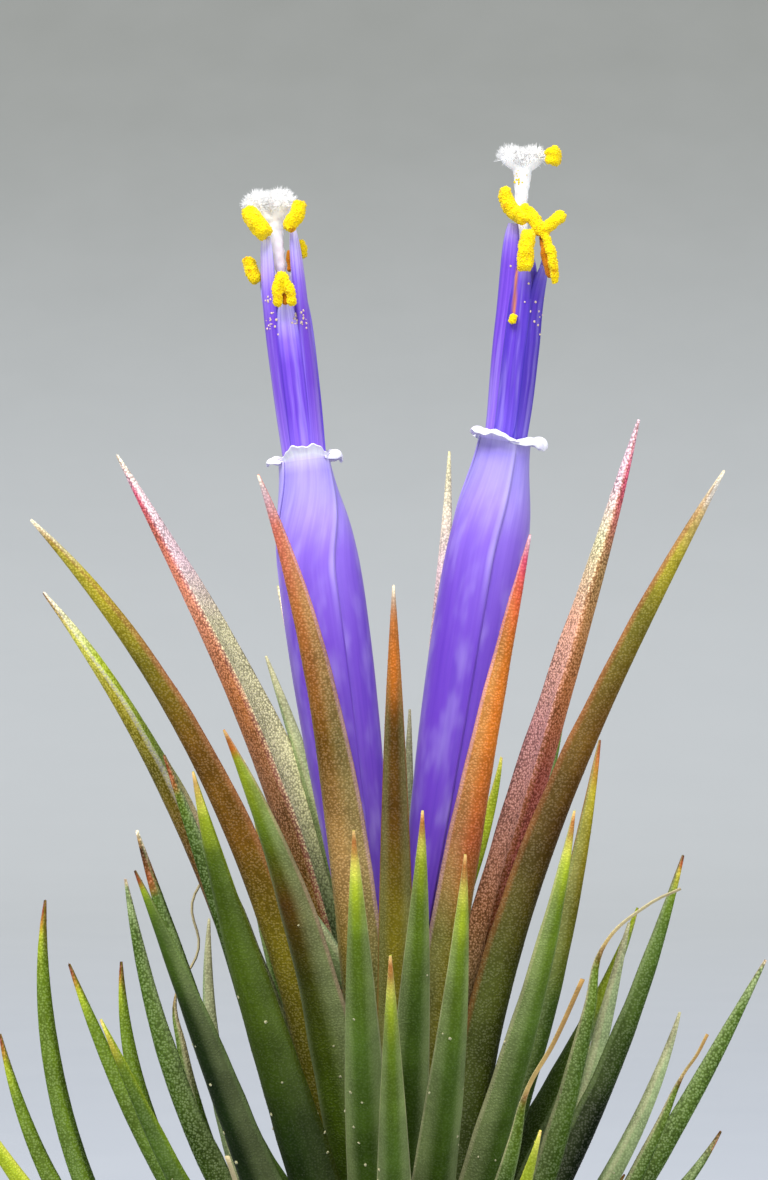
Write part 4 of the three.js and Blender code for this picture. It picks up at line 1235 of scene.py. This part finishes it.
for side, flower in FLOWERS.items():
    for number in range(3):
        places, depth, across = petal_grid(flower, number)
        thin = np.where(depth < 0, 1 + 0.5 * depth, 1) * PETAL_THICKNESS * MM
        petal = sheet(f"petal_{side}_{number + 1}", places, thin, PETAL_SKIN)
        paint_petal(petal, depth, across)
        stands_for(petal, "petal", f"petals_{side}")
print("petals rolled:", 3 * len(FLOWERS))

# %% [markdown]
# ## Filaments
# Six flat filaments stand packed in the mouth of the tube and come free only near their tips.
# They are ribbons, so the blade tree makes them too, without a channel. Some pollen has fallen
# on them, and the places where it lies are kept as an attribute for the grains that come later.

# %% Pollen that fell on the flowers
DUST = [
    (-7.6, -1.6, 68.0, 0.34, 0.9), (-7.65, -1.6, 69.2, 0.3, 0.5), (-5.95, -1.5, 68.2, 0.34, 1.2),
    (8.6, -1.2, 68.6, 1.3, 0.1), (6.95, -0.2, 76.6, 0.32, 0.9),
]
STREAKS = [((6.85, -1.2, 71.2), (6.66, -1.0, 68.6), 0.11)]


def positions(mesh):
    values = np.zeros(len(mesh.vertices) * 3, np.float32)
    mesh.vertices.foreach_get("co", values)
    return values.reshape(-1, 3)


def dust_near(points):
    """How much pollen lies at each point, from the places where it fell."""
    amount = np.zeros(len(points))
    for x, y, z, size, most in DUST:
        apart = np.linalg.norm(points / MM - (x, y, z), axis=1)
        amount += most * np.exp(-(apart / size) ** 2)
    return amount


def stain_near(points):
    """How much each point is stained, from the lines that pollen ran down."""
    amount = np.zeros(len(points))
    for top, foot, size in STREAKS:
        line = np.array(foot) - top
        share = np.clip((points / MM - top) @ line / (line @ line), 0, 1)[:, None]
        apart = (points / MM - top - share * line) * (1, 0.2, 1)
        amount += np.exp(-(np.linalg.norm(apart, axis=1) / size) ** 4)
    return np.clip(amount, 0, 1)[:, None]


# %% Stand up the filaments
FILAMENT_SIDES, FILAMENT_ROWS = 28, 64
FILAMENT_TURN = 60
FILAMENT_LENGTH = 12 * MM
FILAMENT_DEPTH = 1.6
FILAMENT_WIDTH_TAPER = 0.9
FILAMENT_TIP_THICKNESS = 0.24
FILAMENT_THICKNESS_TAPER = 1.5
FILAMENT_CHANNEL = -0.1
FILAMENT_SHADE = 0.94
FILAMENT_TONES = {
    "left": stops("mauve, 18 mauve, 40 violet, 66 violet, 78 mauve, 86 orchid, 94 pale_lilac, "
                  "white"),
    "right": stops("mauve, 18 mauve, 40 violet, 84 violet, 92 mauve, 97 orchid, pale_lilac"),
}
# Painted light and shade: each filament has its own factor, painted light above 1 and painted shade
# below 1, those of the right flower mostly shade, and every filament is darker towards its margins,
# in the groove where it meets the next. The painted shade darkens blue less, so the shaded parts
# turn bluer.
FILAMENT_LIGHT_AND_SHADE = {"left": [1.2, 1.0, 1.3, 1, 1, 1], "right": [0.64, 0.56, 0.6, 0.7, 0.8, 1.16]}
EDGE_PAINTED_SHADE = {"left": 0.36, "right": 0.5}
BLUE_FADE = 0.4


def near_turn(angle, goal):
    """The same angle, within half a turn of another."""
    return goal + math.remainder(angle - goal, 2 * math.pi)


def filament_midrib(flower, number, end):
    """The curve of one filament, and the bearings that its flat side has at both ends."""
    foot, mouth, crown = Vector(flower.foot), Vector(flower.mouth), Vector(flower.crown)
    axis = (mouth - foot).normalized()
    base = math.radians(flower.turn + FILAMENT_TURN * number)
    tip = near_turn(math.atan2(end.y - crown.y, end.x - crown.x), base)
    start = mouth - axis * FILAMENT_DEPTH + heading(base) * FILAMENT_RING * 0.8
    low = mouth + axis + heading(base) * FILAMENT_RING * 0.94
    outward = heading((base * 2 + tip) / 3)
    high = crown + outward * (FILAMENT_RING + 0.04)
    middle = low.lerp(high, 0.5) + outward * 0.06
    points = [start, low, middle, high.lerp(middle, 0.25), end]
    return curve_object("midrib", [point * MM for point in points]), (base, tip)


def grow_filament(side, flower, number, tip, tip_width):
    midrib, bearings = filament_midrib(flower, number, Vector(tip))
    piece = grow_blade(
        f"filament_{side}_{number + 1}", midrib, bearings, Around=FILAMENT_SIDES,
        Along=FILAMENT_ROWS, Width=FILAMENT_WIDTH * MM, TipWidth=tip_width * MM,
        WidthTaper=FILAMENT_WIDTH_TAPER * MM, Thickness=FILAMENT_THICKNESS * MM,
        TipThickness=FILAMENT_TIP_THICKNESS * MM, ThicknessTaper=FILAMENT_THICKNESS_TAPER * MM,
        Channel=FILAMENT_CHANNEL, BladeShare=1.0, Ripple=0.0, Seed=float(number),
        Finish=FILAMENT_SKIN)
    mesh = piece.data
    shares, across = read(mesh, "share"), read(mesh, "across")
    # Painted shade towards the margins, then each filament's own factor of painted light and shade.
    shade = FILAMENT_SHADE - EDGE_PAINTED_SHADE[side] * np.abs(across[:, None]) ** 2.5
    shade = shade * FILAMENT_LIGHT_AND_SHADE[side][number]
    colours = ramp(FILAMENT_TONES[side], shares)
    colours = colours * np.concatenate([shade, shade, shade ** BLUE_FADE, shade], 1)
    keep(mesh, "tint", over(colours, "amber", stain_near(positions(mesh))), "FLOAT_COLOR")
    lay = [across * FILAMENT_WIDTH * MM / 2 + number * 0.1, shares * FILAMENT_LENGTH, across * 0]
    keep(mesh, "lay", np.stack(lay, axis=1), "FLOAT_VECTOR")
    keep(mesh, "dust", dust_near(positions(mesh)))
    return stands_for(piece, "filament", f"filaments_{side}")


filaments = [grow_filament(side, flower, number, tip[:3], tip[3])
             for side, flower in FLOWERS.items() for number, tip in enumerate(flower.filaments)]
print("filaments:", len(filaments))

# %% [markdown]
# ## Styles, stigmas and pollen sacs
# These are small soft bodies without an edge anywhere. Each is laid out as a few round rods
# with a radius at every point, which a voxel remesh melts into one skin and a light smoothing
# rounds. Where the real ones are furry or granular, a scatter puts hairs or grains on them.

# %% Melt rods into one skin
ROD_STEPS = 8
ROD_ROUNDNESS = 4


def rods(name, lines, finish, voxel, smoothing):
    """Round rods along lines of (point, radius), melted into one closed skin."""
    data = curve_data(name, ROD_STEPS)
    data.bevel_depth = 1.0
    data.bevel_resolution = ROD_ROUNDNESS
    data.use_fill_caps = True
    for line in lines:
        knots = add_line(data, [Vector(point) * MM for point, _ in line])
        for knot, (_, radius) in zip(knots, line):
            knot.radius = radius * MM
    maker = placed(name, data)
    piece = placed(name, baked(maker))
    bpy.data.curves.remove(data)
    remesh = piece.modifiers.new("melt", "REMESH")
    remesh.mode = "VOXEL"
    remesh.voxel_size = voxel * MM
    remesh.use_smooth_shade = True
    piece.modifiers.new("soft", "SMOOTH").iterations = smoothing
    made_plain(piece, name)
    piece.data.materials.clear()
    piece.data.materials.append(finish)
    return piece


def sausage(radius, *points):
    """A rod with rounded ends through three points."""
    a, b, c = (Vector(point) for point in points)
    return [(a, radius * 0.62), (a.lerp(b, 0.25), radius * 0.96), (b, radius),
            (c.lerp(b, 0.25), radius * 0.98), (c, radius * 0.66)]


def lumpy(piece, size, most):
    """Small uneven swells, so that a body isn't too smooth."""
    mesh = piece.data
    for vertex in mesh.vertices:
        vertex.co += vertex.normal * noise.noise(vertex.co / size) * most
    mesh.update()


# %% Materials of the small parts
POLLEN_GRAINS_PER_METRE = 14000.0
FLUSH_TOP, FLUSH_FOOT = 74.5 * MM, 70.5 * MM


def pollen_skin(name, light, dark):
    material, tree, shader = plain_material(name, 0.8, 0.15, sheen=0.2)
    here = in_space(tree)
    grain = cells(here, POLLEN_GRAINS_PER_METRE)
    warm = mixed(ranged(clouds(here, 1500.0, 3.0), 0.42, 0.28), TONES[light], TONES[dark])
    # Painted shade: each grain is lighter in its middle and darker at its rim, where it meets the
    # next.
    coloured(shader, shaded(warm, ranged(grain, 0.0, 0.9, 1.05, 0.82)))
    fleshy(shader, 0.1, (1.0, 0.6, 0.1), 0.2)
    bumped(shader, grain, 0.06, 0.8)
    return material


def stigma_skin():
    material, tree, shader = plain_material("stigma_skin", 0.5, 0.3, sheen=0.4)
    here = in_space(tree)
    cell = clouds(here, 2600.0, 3.0)
    height = add(tree, "ShaderNodeSeparateXYZ", {"Vector": here}).outputs["Z"]
    flush = ranged(height, FLUSH_TOP, FLUSH_FOOT, 0, 0.55)
    pale = mixed(cell, linear("f7f4f2"), linear("ffffff"))
    coloured(shader, mixed(flush, pale, linear("e0cbd8")))
    fleshy(shader, 0.6, (1.0, 0.9, 0.9), 0.3)
    bumped(shader, cell, 0.03, 0.3)
    return material


POLLEN_SKIN = pollen_skin("pollen_skin", "pollen", "ochre")
SPENT_SKIN = pollen_skin("spent_pollen_skin", "amber", "rust")
DUST_SKIN = pollen_skin("pollen_dust_skin", "crumb", "honey")
FLAKE_SKIN = pollen_skin("scale_flake_skin", "pale_sage", "sage")
STIGMA_SKIN = stigma_skin()


# %% Scatter grains and hairs
def coat_tree(name, place, hairy):
    """Grains that lie on a surface, or hairs that stand out from it, where the place says."""
    tree, given = new_tree(name, Collection="Body", Float="Density Length Width", Int="Seed",
                           Material="Finish")
    spread = points_on(given["Body"], "RANDOM", Seed=given["Seed"],
                       Density=times(given["Density"], named(tree, place)))
    turn = facing(arrow("ADD", spread["Normal"], wobble(tree, 0.45, 5)), "Z")
    if hairy:
        body = cone(tree, 4, 0.25, "TRIANGLE_FAN")
    else:
        body = add(tree, "GeometryNodeMeshIcoSphere", {"Radius": 1.0, "Subdivisions": 1}).outputs[0]
    size = drawn(tree, 0.6, 1.3, 9)
    wide = times(size, given["Width"])
    shape = vector(tree, wide, wide, times(size, given["Length"]))
    return planted(spread["Points"], body, turn, shape, given["Finish"])


GRAINS = coat_tree("pollen_grains", "dust", hairy=False)
HAIRS = coat_tree("stigma_hairs", "fur", hairy=True)


# %% Pollen sacs with their grains
SMALL_VOXEL = 0.08
SAC_SMOOTHING = 3


def grow_sacs(name, lines, finish, *nodes):
    sac = rods(f"sac_{name}", [sausage(*line) for line in lines], finish, SMALL_VOXEL,
               SAC_SMOOTHING)
    lumpy(sac, 0.45 * MM, 0.09 * MM)
    keep(sac.data, "dust", np.ones(len(sac.data.vertices)))
    return stands_for(sac, "pollen", *nodes)


sacs = [grow_sacs(name, lines, POLLEN_SKIN, name) for name, lines in ANTHERS.items()]
sacs.append(grow_sacs("crumb", CRUMB, POLLEN_SKIN))
for name, lines in SPENT_SACS.items():
    grow_sacs(name, lines, SPENT_SKIN)
coated("pollen_on_sacs", GRAINS, sacs, "pollen", Density=60e6, Length=0.045 * MM,
       Width=0.05 * MM, Seed=3, Finish=POLLEN_SKIN)
coated("pollen_on_filaments", GRAINS, filaments, "pollen", Density=55e6, Length=0.06 * MM,
       Width=0.075 * MM, Seed=4, Finish=DUST_SKIN)
coated("scale_flakes", GRAINS, rings["mid"] + rings["outer"], "leaf_green", Density=0.1e6,
       Length=0.05 * MM, Width=0.1 * MM, Seed=12, Finish=FLAKE_SKIN)

# %% Styles and stigmas with their hairs
STYLE_RADII = [0.34, 0.35, 0.56]
LOBE_SHARES = [(0.0, 0.75), (0.45, 1.0), (0.85, 1.08), (1.1, 0.8)]
BRIDGE_DROP = 0.18
STIGMA_SMOOTHING = 6


def grow_pistil(side, flower):
    """A style, the lobes of its stigma, and a bridge from each lobe to the next."""
    top = Vector(flower.style[-1])
    lines = [list(zip(flower.style, STYLE_RADII))]
    ends = [Vector(lobe) for lobe in flower.lobes]
    rise = Vector((0, 0, flower.arch))
    for end in ends:
        lines.append([(top.lerp(end, share) + rise * share * (1 - share),
                       size * flower.lobe_radius) for share, size in LOBE_SHARES])
    middle = sum(ends, Vector()) / 3 - Vector((0, 0, BRIDGE_DROP))
    for end, after in zip(ends, ends[1:] + ends[:1]):
        lines.append([(point, flower.lobe_radius) for point in (end, middle, after)])
    piece = rods(f"pistil_{side}_soft", lines, STIGMA_SKIN, SMALL_VOXEL, STIGMA_SMOOTHING)
    lumpy(piece, 0.4 * MM, 0.06 * MM)
    places = positions(piece.data)
    lobe_height = min(end.z for end in ends)
    upward = np.array([vertex.normal.z for vertex in piece.data.vertices])
    fur = smooth_step(places[:, 2] / MM, lobe_height - 0.5, lobe_height + 0.1)
    keep(piece.data, "fur", fur * smooth_step(upward, -0.5, 0.4))
    keep(piece.data, "dust", dust_near(places))
    return stands_for(piece, "stigma", f"pistil_{side}")


pistils = [grow_pistil(side, flower) for side, flower in FLOWERS.items()]
coated("stigma_fur", HAIRS, pistils, "stigma", Density=290e6, Length=0.4 * MM,
       Width=0.02 * MM, Seed=6, Finish=STIGMA_SKIN)
coated("pollen_on_style", GRAINS, pistils, "pollen", Density=60e6, Length=0.05 * MM,
       Width=0.06 * MM, Seed=8, Finish=POLLEN_SKIN)

# %% [markdown]
# ## Stem, heart and roots
# The stem is a short woody core that old leaf bases and dry husks cover almost wholly. A few
# wiry roots cling to whatever the plant grows on. None of it shows in the photograph, so its
# form follows what such plants have: a fibrous brown skin, ringed where leaves came off.

# %% Turn the stem and the heart
CORE_ROUGHNESS = 0.12


def husk_skin():
    material, tree, shader = plain_material("husk_skin", 0.85, 0.15)
    here = in_space(tree)
    fibre = clouds(arrow("MULTIPLY", here, (1900.0, 1900.0, 260.0)), 1.0, 4.0)
    brown = mixed(fibre, TONES["dark_brown"], TONES["dry"])
    coloured(shader, mixed(clouds(here, 300.0, 3.0), brown, TONES["husk"]))
    bumped(shader, fibre, 0.25, 0.8)
    return material


def turned_body(name, profile, sides, steps):
    """A closed body turned from a profile, with small swells and ring scars."""
    levels = np.linspace(profile[0][1], profile[-1][1], steps)
    points = []
    for level, radius in zip(levels, radii_at(profile, levels)):
        for k in range(sides):
            angle = k / sides * 2 * math.pi
            ray = Vector((math.cos(angle), math.sin(angle), level * 1.4))
            swell = noise.noise(ray * 1.7) + 0.6 * math.sin(level * 4.2)
            points.append(ray * (radius - CORE_ROUGHNESS + CORE_ROUGHNESS * swell))
            points[-1].z = level
    low, high = len(points), len(points) + 1
    points = [point * MM for point in points]
    points += [Vector((0, 0, level * MM)) for level in (levels[0], levels[-1])]
    last = (steps - 1) * sides
    faces = []
    for k in range(sides):
        after = (k + 1) % sides
        for row in range(0, last, sides):
            faces.append((row + k, row + after, row + sides + after, row + sides + k))
        faces.append((low, after, k))
        faces.append((high, last + k, last + after))
    return plain_mesh(name, points, faces, HUSK_SKIN)


HUSK_SKIN = husk_skin()
stands_for(turned_body("stem_core", STEM_PROFILE, 64, 60), "husk", "stem")
stands_for(turned_body("heart_core", HEART_PROFILE, 40, 24), "leaf_heart", "heart")

# %% Roots
ROOTS = [(18, 9.5), (95, 8.0), (160, 10.0), (232, 8.5), (304, 9.0)]
ROOT_START = 3.6
ROOT_RADIUS = 0.4
ROOT_VOXEL = 0.12
ROOT_SMOOTHING = 2


def root_line(bearing, length):
    """A root that leaves the stem, drops to the ground and drifts aside as it thins."""
    angle = math.radians(bearing)
    places = [(ROOT_START, 2.4, 0, 1), (6.2, 1.5, 0.05, 1),
              (ROOT_START + length * 0.6, 0.6, 0.2, 0.9), (ROOT_START + length, 0.55, 0.1, 0.6)]
    return [((out * math.cos(angle + drift), out * math.sin(angle + drift), height),
             ROOT_RADIUS * size) for out, height, drift, size in places]


roots = rods("roots", [root_line(*row) for row in ROOTS], HUSK_SKIN, ROOT_VOXEL, ROOT_SMOOTHING)
stands_for(roots, "husk", "stem")
print("roots triangles:", triangles(roots))

# %% [markdown]
# ## Stage and light
# A pale sheet lies under the plant and sweeps up behind it, so that there is no horizon. The
# light is that of a bright window with a diffuser: one large soft source in front and to the
# left, a weaker one on the right, and an even glow from all round.

# %% Sweep up the backdrop
SWEEP_START = 0.5
SWEEP_RADIUS = 0.6
SWEEP_STEPS = 24
SHEET_FRONT = -2.0
SHEET_TOP = 3.0
SHEET_HALF_WIDTH = 2.5
FIBRE_SHARE = 0.06


def backdrop():
    material, tree, shader = plain_material("backdrop", 0.9, 0.1)
    here = in_space(tree)
    _, back, height = add(tree, "ShaderNodeSeparateXYZ", {"Vector": here}).outputs
    # Painted shade on the sheet: darker and bluer on the floor near the plant, paler further back,
    # and darker grey high up the wall, as the light falls off.
    floor_with_painted_shade = mixed(ranged(back, 0.15, 0.6), linear("b0b5be"), linear("d0d3d5"))
    paper_with_painted_shade = mixed(ranged(height, 0.01, 0.2), floor_with_painted_shade, linear("a4a5a0"))
    coloured(shader, mixed(times(clouds(here, 60.0, 2.0), FIBRE_SHARE), paper_with_painted_shade, linear("ffffff")))
    turns = [math.radians(90) * step / SWEEP_STEPS for step in range(SWEEP_STEPS + 1)]
    sweep = [(SWEEP_START + SWEEP_RADIUS * math.sin(turn), SWEEP_RADIUS * (1 - math.cos(turn)))
             for turn in turns]
    line = [(SHEET_FRONT, 0.0), *sweep, (SWEEP_START + SWEEP_RADIUS, SHEET_TOP)]
    points = [(side * SHEET_HALF_WIDTH, y, z) for y, z in line for side in (-1, 1)]
    faces = [(2 * i, 2 * i + 1, 2 * i + 3, 2 * i + 2) for i in range(len(line) - 1)]
    return plain_mesh("backdrop", points, faces, material)


backdrop()

# %% Light the stage
AIM = Vector((0, 0, 0.045))
GLOW_COLOUR = (0.86, 0.9, 0.95, 1)
GLOW_STRENGTH = 0.63


def soft_light(name, place, size, power, colour):
    light = bpy.data.lights.new(name, "AREA")
    light.size = size
    light.energy = power
    light.color = colour
    lamp = placed(name, light)
    lamp.location = place
    lamp.rotation_euler = (AIM - Vector(place)).to_track_quat("-Z", "Y").to_euler()


soft_light("window", (-0.2, -0.42, 0.68), 0.4, 9.5, (1.0, 0.99, 0.97))
soft_light("filler", (0.5, -0.5, 0.3), 0.5, 2.0, (0.96, 0.98, 1.0))

world = bpy.data.worlds.new("glow")
world.use_nodes = True
scene.world = world
fixed(world.node_tree.nodes["Background"], {"Color": GLOW_COLOUR, "Strength": GLOW_STRENGTH})
scene.view_settings.view_transform = "Standard"
